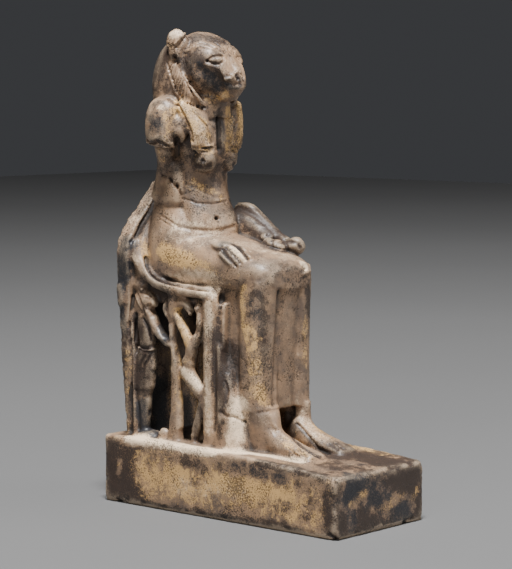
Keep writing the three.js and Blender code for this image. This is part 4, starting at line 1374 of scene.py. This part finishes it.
@dataclass(frozen=True)
class LionHead:
    """The lion's head with its wig, its fur ruff and the wig's two long lappets."""

    goddess: Goddess
    locks: int = 14
    lock_depth: float = 0.48
    lock_width: float = 0.3
    edge_steps: int = 40

    def skull(self) -> list[Form]:
        """Models the skull, cheeks, muzzle, chin and neck.

        Returns:
            The new forms.
        """
        skull = crested([
            (7, 56.0, 6.8, 8.2, 7.9, 2.2, 2.2), (12, 56.0, 8.2, 9.8, 9.4, 2.3, 2.1),
            (16, 57.2, 8.0, 7.3, 9.9, 2.5, 1.9), (18.2, 57.7, 7.3, 5.3, 9.7, 2.7, 1.75),
            (20.2, 57.6, 6.4, 4.0, 9.2, 3.0, 1.65), (22.0, 56.9, 4.8, 2.4, 8.2, 3.2, 1.6),
            (23.8, 54.9, 3.8, 1.7, 5.8, 3.2, 1.8), (25.1, 53.9, 2.8, 1.1, 3.6, 3.0, 2.0),
            (25.8, 53.7, 1.8, 0.7, 2.4, 2.6, 2.2),
        ])
        brow = limb([body(-6.3, 17.2, 60.2), body(-4.5, 18.8, 60.5), body(-1.8, 20.2, 59.9)],
                    [(0.4, 0.5), (0.5, 0.6), (0.4, 0.5)], Z)
        bridge = limb([body(0, 20.6, 59.8), body(0, 23.2, 57.0), body(0, 25.2, 54.6)],
                      [(1.7, 1.2), (1.3, 1.0), (1.4, 0.9)], Y)
        chin = oval(body(0, 21.0, 50.1), (3.2, 2.9, 2.1))
        neck = loft([(body(0, 14.8, 44), (6.6, 4.4), 2), (body(0, 15.2, 49.4), (5.2, 4.6), 2)])
        return [skull, *paired(brow), bridge, chin, neck]

    def ears(self) -> list[Form]:
        """Models the near ear, which stands clear, and the far one, worn to a stump.

        Returns:
            The new forms.
        """
        return [
            oval(body(-7.6, 10.8, 62.6), (1.9, 3.0, 3.8), -12, 14),
            oval(body(-8.3, 10.8, 60.0), (1.3, 2.1, 2.6)),
            oval(body(7.2, 11.4, 60.6), (1.8, 2.9, 3.0)),
        ]

    def wig(self) -> Form:
        """Models the smooth wig, which falls to the shoulders behind the face.

        Returns:
            The new form.
        """
        return loft([
            (body(0, 8.4, 43.5), (9.8, 7.6), 2.2), (body(0, 8.2, 49), (10.2, 8.5), 2.2),
            (body(0, 8.2, 54), (10.0, 8.8), 2.2), (body(0, 9.2, 59), (8.9, 8.9), 2.2),
            (body(0, 10.0, 62.6), (7.1, 7.2), 2.2), (body(0, 10.6, 64.7), (4.4, 4.6), 2.2),
        ], sides=56, rows=40)

    def ruff(self) -> Form:
        """Models the band of fur that frames one side of the face.

        Returns:
            The new form.
        """
        line = [body(-8.8, 10.6, 58.0), body(-9.2, 12.4, 53.4), body(-8.2, 15.2, 49.4),
                body(-5.6, 17.2, 46.8)]
        swell = [math.sin(math.pi * (0.14 + 0.72 * step / 12)) for step in range(13)]
        return limb(line, [(2.7 * size, 1.3 * size) for size in swell], rows=40, power=2.3)

    def lappet(self) -> list[Form]:
        """Models one lappet, which ends in a banded hem above the breast.

        Returns:
            The new forms.
        """
        line = [body(-9.8, 14.0, 48.6), body(-8.0, 16.2, 44.7), body(-6.5, 17.5, 41.0),
                body(-5.4, 17.7, 36.4)]
        strip = limb(line, [(2.3, 1.6), (3.0, 1.3), (3.4, 1.1), (3.8, 0.9)],
                     np.array((0.13, 0.99, 0.0)), rows=40, power=3)
        bands = [
            limb([body(-8.2, 17.5, up), body(-5.2, 18.6, up), body(-2.1, 18.8, up)],
                 [(0.4, 0.5), (0.4, 0.5)], Y)
            for up in (37.0, 35.6)
        ]
        return [strip, *bands]

    def build(self) -> list[Form]:
        """Models the whole head, in its place on the shoulders."""
        sides = paired(self.ruff(), *self.lappet())
        return self.goddess.seated([*self.skull(), *self.ears(), self.wig(), *sides])

    def cuts(self) -> list[Cut]:
        """Lines of the face and the ruff.

        Returns:
            The cuts.
        """
        outer = spline([(167, 63), (171.5, 79), (176.4, 92), (186.4, 102), (196, 106), (204.6, 107.8)],
                       self.edge_steps)
        inner = spline([(174.8, 57), (181.4, 71.4), (188, 83), (193, 93.8), (200.5, 102)], self.edge_steps)
        cuts = [
            Cut(tuple(map(tuple, outer[::3])), -0.36, 0.34, True),
            Cut(tuple(map(tuple, inner[:24:3])), -0.4, 0.4, True),
        ]
        for lock in range(self.locks):
            share = (lock + 1.2) / (self.locks + 1.4)
            low = outer[int(share * (self.edge_steps - 1))]
            high = inner[int(max(share - 0.1, 0) * (self.edge_steps - 1))]
            cuts.append(Cut((tuple(low), tuple(high)), -self.lock_depth, self.lock_width, True))
        lids = (
            ((207, 61), (210, 58.4), (213, 56.6), (217.7, 55.4), (222.3, 56), (224, 60.4)),
            ((207, 61), (213.7, 63.6), (219, 64), (223.4, 61)),
        )
        passes = ((-0.22, True), (-0.25, False))
        eyes = [Cut(lid, depth, 0.27, both) for depth, both in passes for lid in lids]
        return cuts + [
            Cut(((195, 45.7), (201.7, 43.7), (209.7, 45), (217.7, 48.3), (223, 53.7)), -0.3, 0.3, True),
            Cut(((207, 40.3), (215, 42.3), (220.3, 46.3), (225.7, 50)), -0.25, 0.3, True),
            Cut(((186, 52), (193, 47.5), (201, 46.3), (209, 47.6), (216.5, 51), (222, 54.6)), 0.3, 0.45),
            *eyes,
            Cut(((212, 60.2), (215, 59.4), (219.5, 59.6)), 0.28, 0.7),
            Cut(((205.7, 65), (213, 67), (219.8, 69), (223, 74), (225.7, 79)), 0.3, 0.5),
            Cut(((201, 70), (210, 74), (217, 79), (219, 86)), -0.5, 1.4, True),
            Cut(((225.7, 79), (231, 78.6), (234, 75), (237, 71.7)), 0.35, 0.4),
            Cut(((236.5, 76), (238, 79)), -0.5, 0.5, True),
            Cut(((240, 58), (242, 64), (244, 71), (246, 76)), -0.7, 1.6),
            Cut(((226, 83.5), (232, 84.5), (240, 84)), -0.35, 0.5),
            Cut(((213, 89), (208, 94.6), (201, 94.6), (191, 83)), -0.3, 0.8, True),
            Cut(((189, 79), (193, 93)), -0.4, 0.7, True),
            Cut(((185, 33), (180, 38.5), (175, 44)), 0.4, 0.35, True),
            Cut(((186, 37), (181, 42), (177, 47)), -0.4, 0.4, True),
            Cut(((168, 44), (170.5, 47.5), (172.5, 45)), -0.35, 0.3),
            Cut(((173, 57), (173.5, 61)), -0.7, 0.5, True),
        ]

    def stains(self) -> list[Stain]:
        """Tones of the wig, the face and the ruff, with painted shade on the cheek.

        Returns:
            The stains, each laid over those before it.
        """
        bare, ochre, pale, dark, blue = Tone
        return [
            bare.both(10.0, 1.0, (165, 60), (185, 50), (205, 55), (225, 60), (232, 80), (205, 90)),
            pale.both(1.5, 0.75, (172, 35), (180, 33)),
            dark.both(2.6, 0.4, (194, 36), (206, 36), (214, 40)),
            bare.both(1.6, 0.8, (222, 90), (230, 94), (236, 91)),
            ochre.both(1.2, 0.3, (208, 96), (218, 98), (230, 95)),
            dark.both(1.0, 0.5, (186, 86), (194, 96), (204, 106)),
            ochre.near(1.0, 0.7, (168, 44), (171, 47)),
            pale.both(2.0, 0.2, (224, 60), (231, 69)),
            dark.both(5.5, 0.95, (162, 50), (157, 64), (155, 78), (159, 94)),
            dark.both(4.5, 0.4, (190, 44), (204, 40), (220, 46)),
            # The cheek's side plane: partly dark glaze, partly painted shade, as it turns from the light.
            dark.both(2.6, 0.55, (182, 62), (192, 72), (200, 84), (205, 92)),
            dark.both(3.0, 1.0, (196, 66), (206, 71), (214, 78), (217, 86)),
            blue.both(2.0, 0.75, (200, 69), (210, 76), (216, 84)),
            dark.both(1.8, 0.7, (224, 83), (233, 85), (241, 84)),
            blue.near(1.2, 0.6, (222, 84), (230, 86), (240, 86)),
            dark.near(0.7, 0.7, (237, 76), (238, 79)),
            dark.both(1.0, 0.2, (226, 96), (232, 96), (238, 92)),
            ochre.both(1.3, 0.45, (206, 96), (216, 98), (226, 95)),
            dark.both(2.6, 0.35, (206, 106), (218, 107), (232, 106)),
            ochre.both(1.0, 0.35, (206, 102), (213, 104)),
            bare.both(1.5, 0.7, (171, 65), (180, 85), (196, 102)),
        ]


# Finish.


class NodeBench:
    """A short way to place and join a node tree's nodes."""

    def __init__(self, tree: bpy.types.NodeTree) -> None:
        """Takes the tree that the nodes go into."""
        self.tree = tree

    def add(self, kind: str, settings: dict[str, object] | None = None,
            **sockets: object) -> bpy.types.Node:
        """Places a node.

        Args:
            kind: The node's type.
            settings: Properties of the node itself.
            **sockets: Values of its inputs or links to them, by their names with _ for a space.

        Returns:
            The new node.
        """
        node = self.tree.nodes.new(kind)
        for name, value in (settings or {}).items():
            setattr(node, name, value)
        for name, value in sockets.items():
            label = name.replace("_", " ")
            named = [socket for socket in node.inputs if socket.name == label and socket.enabled]
            self.put(named[0], value)
        return node

    def put(self, socket: Socket, value: object) -> None:
        """Sets an input, or links an output to it.

        Args:
            socket: The input.
            value: A value, or another node's output.
        """
        if isinstance(value, Socket):
            self.tree.links.new(value, socket)
        else:
            socket.default_value = value

    def sum(self, first: object, second: object, operation: str = "ADD") -> Socket:
        """One step of arithmetic on two values.

        Args:
            first: A value or an output.
            second: A value or an output.
            operation: What to do with them.

        Returns:
            The result.
        """
        node = self.tree.nodes.new("ShaderNodeMath")
        node.operation = operation
        self.put(node.inputs[0], first)
        self.put(node.inputs[1], second)
        return node.outputs[0]

    def times(self, value: object, share: object) -> Socket:
        """Multiplies a value."""
        return self.sum(value, share, "MULTIPLY")

    def blend(self, share: object, first: object, second: object) -> Socket:
        """Mixes two colours.

        Args:
            share: How much of the second colour shows.
            first: A colour or an output.
            second: A colour or an output.

        Returns:
            The mixed colour.
        """
        node = self.tree.nodes.new("ShaderNodeMix")
        node.data_type = "RGBA"
        for index, value in ((0, share), (6, first), (7, second)):
            self.put(node.inputs[index], value)
        return node.outputs[2]

    def noise(self, place: Socket, scale: float, detail: float = 3.0,
              rough: float = 0.55) -> Socket:
        """Cloudy noise at a place, from 0 to 1."""
        node = self.add("ShaderNodeTexNoise", Vector=place, Scale=scale, Detail=detail, Roughness=rough)
        return node.outputs[0]


def new_group(name: str, inputs: dict[str, tuple[str, float]], outputs: Sequence[str]) -> bpy.types.NodeTree:
    """Makes an empty shader node group.

    Args:
        name: The group's name.
        inputs: Type and first value of each input, by name.
        outputs: Names of its values.

    Returns:
        The group's tree, with its input and output nodes placed.
    """
    tree = bpy.data.node_groups.new(name, "ShaderNodeTree")
    for label, (kind, value) in inputs.items():
        socket = tree.interface.new_socket(label, in_out="INPUT", socket_type=kind)
        if kind == "NodeSocketFloat":
            socket.default_value = value
    for label in outputs:
        tree.interface.new_socket(label, in_out="OUTPUT", socket_type="NodeSocketFloat")
    tree.nodes.new("NodeGroupInput")
    tree.nodes.new("NodeGroupOutput")
    return tree


def broken_mask() -> bpy.types.NodeTree:
    """Makes the group that breaks a soft mask's edge with noise, as flaking glaze does.

    Returns:
        The group's tree.
    """
    tree = new_group("broken mask", {
        "Mask": ("NodeSocketFloat", 0.0), "Noise": ("NodeSocketFloat", 0.5),
        "Spread": ("NodeSocketFloat", 1.0), "Edge": ("NodeSocketFloat", 0.1),
    }, ["Mask"])
    bench = NodeBench(tree)
    source = tree.nodes["Group Input"].outputs
    shift = bench.times(bench.sum(source["Noise"], 0.5, "SUBTRACT"), source["Spread"])
    value = bench.sum(source["Mask"], shift)
    low = bench.sum(0.5, source["Edge"], "SUBTRACT")
    high = bench.sum(0.5, source["Edge"])
    ramp = bench.add("ShaderNodeMapRange", {"interpolation_type": "SMOOTHSTEP"}, Value=value,
                     From_Min=low, From_Max=high)
    tree.links.new(ramp.outputs[0], tree.nodes["Group Output"].inputs["Mask"])
    return tree


def pitted() -> bpy.types.NodeTree:
    """Makes the group of small pits, which come in clusters.

    Returns:
        The group's tree.
    """
    tree = new_group("pitted", {
        "Vector": ("NodeSocketVector", 0.0), "Scale": ("NodeSocketFloat", 1800.0),
        "Amount": ("NodeSocketFloat", 0.5),
    }, ["Pits"])
    bench = NodeBench(tree)
    source = tree.nodes["Group Input"].outputs
    fine = bench.add("ShaderNodeTexNoise", Vector=source["Vector"], Scale=source["Scale"], Detail=2.0,
                     Roughness=0.5).outputs[0]
    cluster = bench.noise(source["Vector"], 260.0, 2.0)
    value = bench.sum(fine, bench.times(bench.sum(cluster, 0.5, "SUBTRACT"), 0.5))
    value = bench.sum(value, bench.times(source["Amount"], 0.09))
    ramp = bench.add("ShaderNodeMapRange", {"interpolation_type": "SMOOTHSTEP"}, Value=value,
                     From_Min=0.64, From_Max=0.7)
    tree.links.new(ramp.outputs[0], tree.nodes["Group Output"].inputs["Pits"])
    return tree


def linear(red: int, green: int, blue: int) -> tuple[float, float, float, float]:
    """A colour given as screen values, in the light values that shaders use.

    Args:
        red: Red, from 0 to 255.
        green: Green, from 0 to 255.
        blue: Blue, from 0 to 255.

    Returns:
        Red, green, blue and alpha, from 0 to 1.
    """
    parts = [value / 255 for value in (red, green, blue)]
    light = [part / 12.92 if part <= 0.04045 else ((part + 0.055) / 1.055) ** 2.4 for part in parts]
    return (*light, 1.0)


@dataclass(frozen=True)
class Tint:
    """A colour of the glaze, and how noise breaks its mask: its scale, spread and soft edge."""

    colour: tuple[int, int, int]
    scale: float
    spread: float
    edge: float


@dataclass(frozen=True)
class GlazedFaience:
    """Old glaze on faience: browned and greyed, worn to pale grit, with ochre patches, and darkened in its
    hollows by dirt and painted shade.
    """

    body: tuple[int, int, int] = (157, 127, 99)
    cloud: tuple[int, int, int] = (100, 84, 72)
    cloud_scale: float = 150.0
    ochre: Tint = Tint((206, 165, 108), 460.0, 2.5, 0.08)
    pale: Tint = Tint((232, 206, 174), 520.0, 1.9, 0.25)
    dark: Tint = Tint((56, 44, 37), 380.0, 2.6, 0.09)
    blue: Tint = Tint((36, 36, 40), 380.0, 2.3, 0.18)
    # The dark of dirt in the pits, and of dirt and painted shade in the hollows.
    grime_and_shade: Tint = Tint((24, 18, 14), 700.0, 0.5, 0.4)
    rubbed: Tint = Tint((232, 206, 174), 900.0, 1.2, 0.4)
    rubbed_share: float = 0.3
    pit_scale: float = 2500.0
    pit_share: float = 0.7
    grime_and_shade_share: float = 0.9
    patch_share: float = 0.62
    fleck_share: float = 0.38
    fleck_scale: float = 2300.0
    gloss: float = 0.34
    bump_depth: float = 0.00022

    def material(self) -> bpy.types.Material:
        """Builds the glaze's material.

        Returns:
            The material.
        """
        material = bpy.data.materials.new("glazed_faience")
        material.use_nodes = True
        tree = material.node_tree
        bench = NodeBench(tree)
        shader = tree.nodes["Principled BSDF"]
        place = tree.nodes.new("ShaderNodeTexCoord").outputs["Object"]
        tones = bench.add("ShaderNodeAttribute", {"attribute_name": "tones"})
        split = bench.add("ShaderNodeSeparateColor", Color=tones.outputs["Color"])
        age = bench.add("ShaderNodeAttribute", {"attribute_name": "age"})
        worn = bench.add("ShaderNodeSeparateColor", Color=age.outputs["Color"])
        breaks = broken_mask()
        pits = pitted()

        def broken(mask: Socket, tint: Tint) -> Socket:
            """Breaks one mask twice: softly into patches and sharply into flecks.

            Args:
                mask: The mask.
                tint: The tint that it shows.

            Returns:
                The broken mask.
            """
            patch = bench.add("ShaderNodeGroup", {"node_tree": breaks}, Mask=mask,
                              Noise=bench.noise(place, tint.scale, 6.0, 0.74), Spread=tint.spread,
                              Edge=tint.edge)
            fleck = bench.add("ShaderNodeGroup", {"node_tree": breaks}, Mask=mask,
                              Noise=bench.noise(place, self.fleck_scale + tint.scale, 3.0, 0.7),
                              Spread=2.4, Edge=0.16)
            return bench.sum(bench.times(patch.outputs[0], self.patch_share),
                             bench.times(fleck.outputs[0], self.fleck_share))

        ochre = broken(split.outputs[0], self.ochre)
        pale = broken(split.outputs[1], self.pale)
        dark = broken(split.outputs[2], self.dark)
        blue = broken(tones.outputs["Alpha"], self.blue)
        # Hollows darkened with dirt and painted shade.
        grime_and_shade = broken(worn.outputs[0], self.grime_and_shade)
        rubbed = broken(worn.outputs[1], self.rubbed)
        holes = bench.add("ShaderNodeGroup", {"node_tree": pits}, Vector=place, Scale=self.pit_scale,
                          Amount=bench.sum(worn.outputs[2], ochre)).outputs[0]
        cloud = bench.noise(place, self.cloud_scale, 6.0, 0.7)
        veil = bench.add("ShaderNodeMapRange", Value=cloud, From_Min=0.36, From_Max=0.62).outputs[0]

        colour = bench.blend(veil, linear(*self.body), linear(*self.cloud))
        for share, tint in (
            (dark, self.dark), (blue, self.blue), (ochre, self.ochre), (pale, self.pale),
            (bench.times(rubbed, self.rubbed_share), self.rubbed),
            (bench.times(holes, self.pit_share), self.grime_and_shade),
            (bench.times(grime_and_shade, self.grime_and_shade_share), self.grime_and_shade),
        ):
            colour = bench.blend(share, colour, linear(*tint.colour))
        bench.put(shader.inputs["Base Color"], colour)

        dry = bench.sum(bench.times(pale, 0.18), bench.times(grime_and_shade, 0.25))
        glaze = bench.sum(bench.times(dark, 0.08), dry)
        cloudy = bench.sum(bench.times(cloud, 0.16), self.gloss)
        bench.put(shader.inputs["Roughness"], bench.sum(glaze, cloudy))

        fine = bench.noise(place, 1500.0, 3.0, 0.6)
        height = bench.sum(bench.times(fine, 0.5), holes, "SUBTRACT")
        height = bench.sum(height, bench.times(cloud, 0.8))
        bump = bench.add("ShaderNodeBump", Height=height, Strength=0.5, Distance=self.bump_depth)
        bench.put(shader.inputs["Normal"], bump.outputs[0])
        shader.inputs["Specular IOR Level"].default_value = 0.45
        return material


@dataclass(frozen=True)
class Scatter:
    """Noise that lays a tone by itself: its size, where the tone starts, how sharply and strongly."""

    size: float
    start: float
    contrast: float
    strength: float = 1.0

    def share(self, noise: np.ndarray) -> np.ndarray:
        """The tone's share for values of noise."""
        return np.clip((noise - self.start) * self.contrast, 0, 1) * self.strength


@dataclass(frozen=True)
class Wear:
    """How age chips the edges and leaves the surface uneven, in millimetres.

    Edges that bend by `edge_bend` are chipped in full. The face, above `face_level`, keeps no
    less than `face_share` of the unevenness. The foot up to `base` isn't worn, and what is under
    `ground_off` is laid flat on the ground.
    """

    edge_bend: float = 0.035
    chips: Scatter = Scatter(2.4, 0.5, 6.0)
    chip_depth: float = 0.45
    swell_size: float = 6.0
    swell_depth: float = 0.26
    grit_size: float = 0.9
    grit_depth: float = 0.07
    face_level: float = 98.0
    face_fade: float = 6.0
    face_share: float = 0.25
    base: float = 0.4
    ground_off: float = 0.3

    def apply(self, skin: Skin, grain: Grain) -> None:
        """Moves the skin's points.

        Args:
            skin: The fused body's skin.
            grain: The noise that it is worn by.
        """
        bend = -skin.bend()
        sharp = np.clip(skin.spread(bend[:, None])[:, 0] / self.edge_bend, 0, 1)
        chips = self.chips.share(grain.rough(skin.points, self.chips.size))
        uneven = (grain.rough(skin.points, self.swell_size) - 0.5) * self.swell_depth
        fine = (grain.at(skin.points, self.grit_size) - 0.5) * self.grit_depth
        uneven *= np.clip((self.face_level - skin.points[:, 2]) / self.face_fade, self.face_share, 1)
        push = uneven + fine - sharp * chips * self.chip_depth
        push[skin.points[:, 2] < self.base] = 0
        skin.points += push[:, None] * skin.normals
        skin.points[skin.points[:, 2] < self.ground_off, 2] = 0
        skin.write()


@dataclass
class Statuette:
    """The whole piece: its forms fused, worn, carved, stained and glazed.

    The head is what lies above `head_level` and at least `head_reach` before the throne's back.
    A point that lies `deep_bend` under its neighbours takes the most dirt and painted shade.
    """

    sight: Sight = field(default_factory=Sight)
    plinth: Plinth = field(default_factory=Plinth)
    wear: Wear = field(default_factory=Wear)
    ochre_patches: Scatter = Scatter(13, 0.42, 3, 0.6)
    dark_patches: Scatter = Scatter(11, 0.46, 4, 0.6)
    pitted_patches: Scatter = Scatter(9, 0.4, 3)
    deep_bend: float = 0.05
    bend_steps: int = 3
    fillet_steps: int = 4
    relax_steps: int = 2
    voxel: float = 0.32
    triangles: int = 196000
    seed: int = 11
    head_level: float = 96.0
    head_reach: float = 8.0

    def __post_init__(self) -> None:
        """Draws the sub-assemblies on each other."""
        throne = Throne(self.plinth)
        goddess = Goddess(throne)
        self.parts = (self.plinth, throne, goddess, LionHead(goddess))
        self.head_back = throne.face - self.head_reach

    def fuse(self, forms: Sequence[Form]) -> Form:
        """Joins all forms and gives them one even skin.

        Args:
            forms: All forms.

        Returns:
            The fused piece.
        """
        bpy.ops.object.select_all(action="DESELECT")
        for form in forms:
            form.select_set(True)
        bpy.context.view_layer.objects.active = forms[0]
        bpy.ops.object.join()
        piece = bpy.context.object
        piece.name = piece.data.name = "statuette"
        remesh = piece.modifiers.new("one skin", "REMESH")
        remesh.mode = "VOXEL"
        remesh.voxel_size = self.voxel
        bpy.ops.object.modifier_apply(modifier=remesh.name)
        return piece

    def refine(self, piece: Form) -> None:
        """Divides the head's faces, so that its fine lines can be carved.

        Args:
            piece: The fused piece.
        """
        for polygon in piece.data.polygons:
            polygon.select = polygon.center.z > self.head_level and polygon.center.y < self.head_back
        bpy.ops.object.mode_set(mode="EDIT")
        bpy.ops.mesh.select_mode(type="FACE")
        bpy.ops.mesh.subdivide(number_cuts=1)
        bpy.ops.object.mode_set(mode="OBJECT")

    def thin(self, piece: Form) -> None:
        """Takes triangles out where the skin is nearly flat.

        Args:
            piece: The carved piece.
        """
        count = sum(polygon.loop_total - 2 for polygon in piece.data.polygons)
        decimate = piece.modifiers.new("even faces", "DECIMATE")
        decimate.ratio = min(1.0, self.triangles / count)
        decimate.use_collapse_triangulate = True
        bpy.ops.object.modifier_apply(modifier=decimate.name)
        bpy.ops.object.shade_smooth()

    def stain(self, skin: Skin) -> None:
        """Writes the tones, with their painted shade and highlights, and the signs of age, with the painted
        shade in hollows, as attributes of the mesh.

        Args:
            skin: The finished piece's skin.
        """
        grain, other = Grain(self.seed + 1), Grain(self.seed + 2)
        points = skin.points
        tones = np.zeros((len(points), 4))
        tones[:, 0] = self.ochre_patches.share(grain.rough(points, self.ochre_patches.size))
        tones[:, 2] = self.dark_patches.share(other.rough(points, self.dark_patches.size))
        for stain in (stain for part in reversed(self.parts) for stain in part.stains()):
            marks = skin.trace(stain.line, max(1.0, stain.radius), stain.both)
            index, gap = skin.near(marks, stain.radius * SOFT_EDGE)
            share = np.clip(SOFT_EDGE - gap / stain.radius, 0, 1)[:, None] * stain.strength
            goal = np.zeros(4)
            if stain.tone is not Tone.BARE:
                goal[stain.tone.value] = 1
            tones[index] += share * (goal - tones[index])
        bend = skin.bend()[:, None]
        for _ in range(self.bend_steps):
            bend = skin.spread(bend)
        age = np.zeros((len(points), 4))
        # Hollows take dirt and painted shade; raised edges are worn pale.
        age[:, 0] = np.clip(bend[:, 0] / self.deep_bend, 0, 1)
        age[:, 1] = np.clip(-bend[:, 0] / self.deep_bend, 0, 1)
        age[:, 2] = self.pitted_patches.share(other.at(points, self.pitted_patches.size))
        for name, values in (("tones", tones), ("age", age)):
            layer = skin.piece.data.attributes.new(name, "FLOAT_COLOR", "POINT")
            layer.data.foreach_set("color", values.astype(np.float32).ravel())

    def build(self) -> Form:
        """Models and dresses the piece, and sets it in the place of its solid.

        Returns:
            The piece.
        """
        forms: list[Form] = []
        for part in self.parts:
            made = part.build()
            LOG.info("%s: %d forms", type(part).__name__, len(made))
            forms += made
        piece = self.fuse(forms)
        skin = Skin(piece, self.sight)
        LOG.info("fused: %d points", len(skin.points))
        skin.fillet(self.fillet_steps)
        skin.relax(self.relax_steps)
        self.wear.apply(skin, Grain(self.seed))
        self.refine(piece)
        skin.read()
        LOG.info("refined: %d points", len(skin.points))
        skin.carve([cut for part in reversed(self.parts) for cut in part.cuts()])
        self.thin(piece)
        skin.read()
        self.stain(skin)
        piece.scale = (METRES,) * 3
        bpy.ops.object.transform_apply(scale=True)
        piece.data.materials.clear()
        piece.data.materials.append(GlazedFaience().material())
        LOG.info("%s: %d triangles", piece.name, len(piece.data.polygons))
        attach(piece, "root")
        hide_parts(NODE)
        return piece


@dataclass(frozen=True)
class Lamp:
    """One soft light: its place, width and power."""

    name: str
    place: Point
    size: float
    power: float


@dataclass(frozen=True)
class Studio:
    """A pale floor and soft lights round the piece, in metres and watts."""

    floor_size: float = 3.0
    floor_tone: float = 0.13
    tone_range: float = 0.01
    floor_level: float = -0.0002
    aim: Point = (0.0, 0.0, 0.06)
    lamps: tuple[Lamp, ...] = (
        Lamp("key", (-0.24, -0.22, 1.1), 0.26, 36.0),
        Lamp("side", (-1.0, -0.4, 0.4), 0.4, 3.2),
        Lamp("front", (0.7, -0.9, 0.45), 0.6, 4.0),
    )
    room_colour: tuple[float, float, float, float] = (0.9, 0.93, 1.0, 1.0)
    room_strength: float = 0.05

    def floor(self) -> Form:
        """Lays the floor just under the piece.

        Returns:
            The floor.
        """
        bpy.ops.mesh.primitive_plane_add(size=self.floor_size, location=(0, 0, self.floor_level))
        floor = bpy.context.object
        floor.name = "studio_floor"
        bpy.ops.object.transform_apply(location=True)
        material = bpy.data.materials.new("studio_floor")
        material.use_nodes = True
        bench = NodeBench(material.node_tree)
        place = material.node_tree.nodes.new("ShaderNodeTexCoord").outputs["Object"]
        tone = bench.add("ShaderNodeMapRange", Value=bench.noise(place, 3.0),
                         To_Min=self.floor_tone - self.tone_range,
                         To_Max=self.floor_tone + self.tone_range).outputs[0]
        shader = material.node_tree.nodes["Principled BSDF"]
        bench.put(shader.inputs["Base Color"], tone)
        shader.inputs["Roughness"].default_value = 0.8
        floor.data.materials.append(material)
        return floor

    def light(self, plan: Lamp) -> Form:
        """Adds one soft light that looks at the piece.

        Args:
            plan: The light's place, width and power.

        Returns:
            The light.
        """
        bpy.ops.object.light_add(type="AREA", location=plan.place)
        lamp = bpy.context.object
        lamp.name = plan.name
        lamp.rotation_euler = (Vector(self.aim) - Vector(plan.place)).to_track_quat("-Z", "Y").to_euler()
        lamp.data.shape = "DISK"
        lamp.data.size = plan.size
        lamp.data.energy = plan.power
        return lamp

    def build(self) -> None:
        """Sets up the floor, the lights and the even light of the room."""
        self.floor()
        for plan in self.lamps:
            self.light(plan)
        world = bpy.data.worlds.new("soft room")
        world.use_nodes = True
        background = world.node_tree.nodes["Background"]
        background.inputs[0].default_value = self.room_colour
        background.inputs[1].default_value = self.room_strength
        bpy.context.scene.world = world


def main() -> None:
    """Builds the piece and its studio."""
    logging.basicConfig(level=logging.INFO, format="%(message)s")
    bpy.ops.object.select_all(action="DESELECT")
    statuette = Statuette()
    statuette.sight.camera()
    statuette.build()
    Studio().build()


if __name__ == "__main__":
    main()
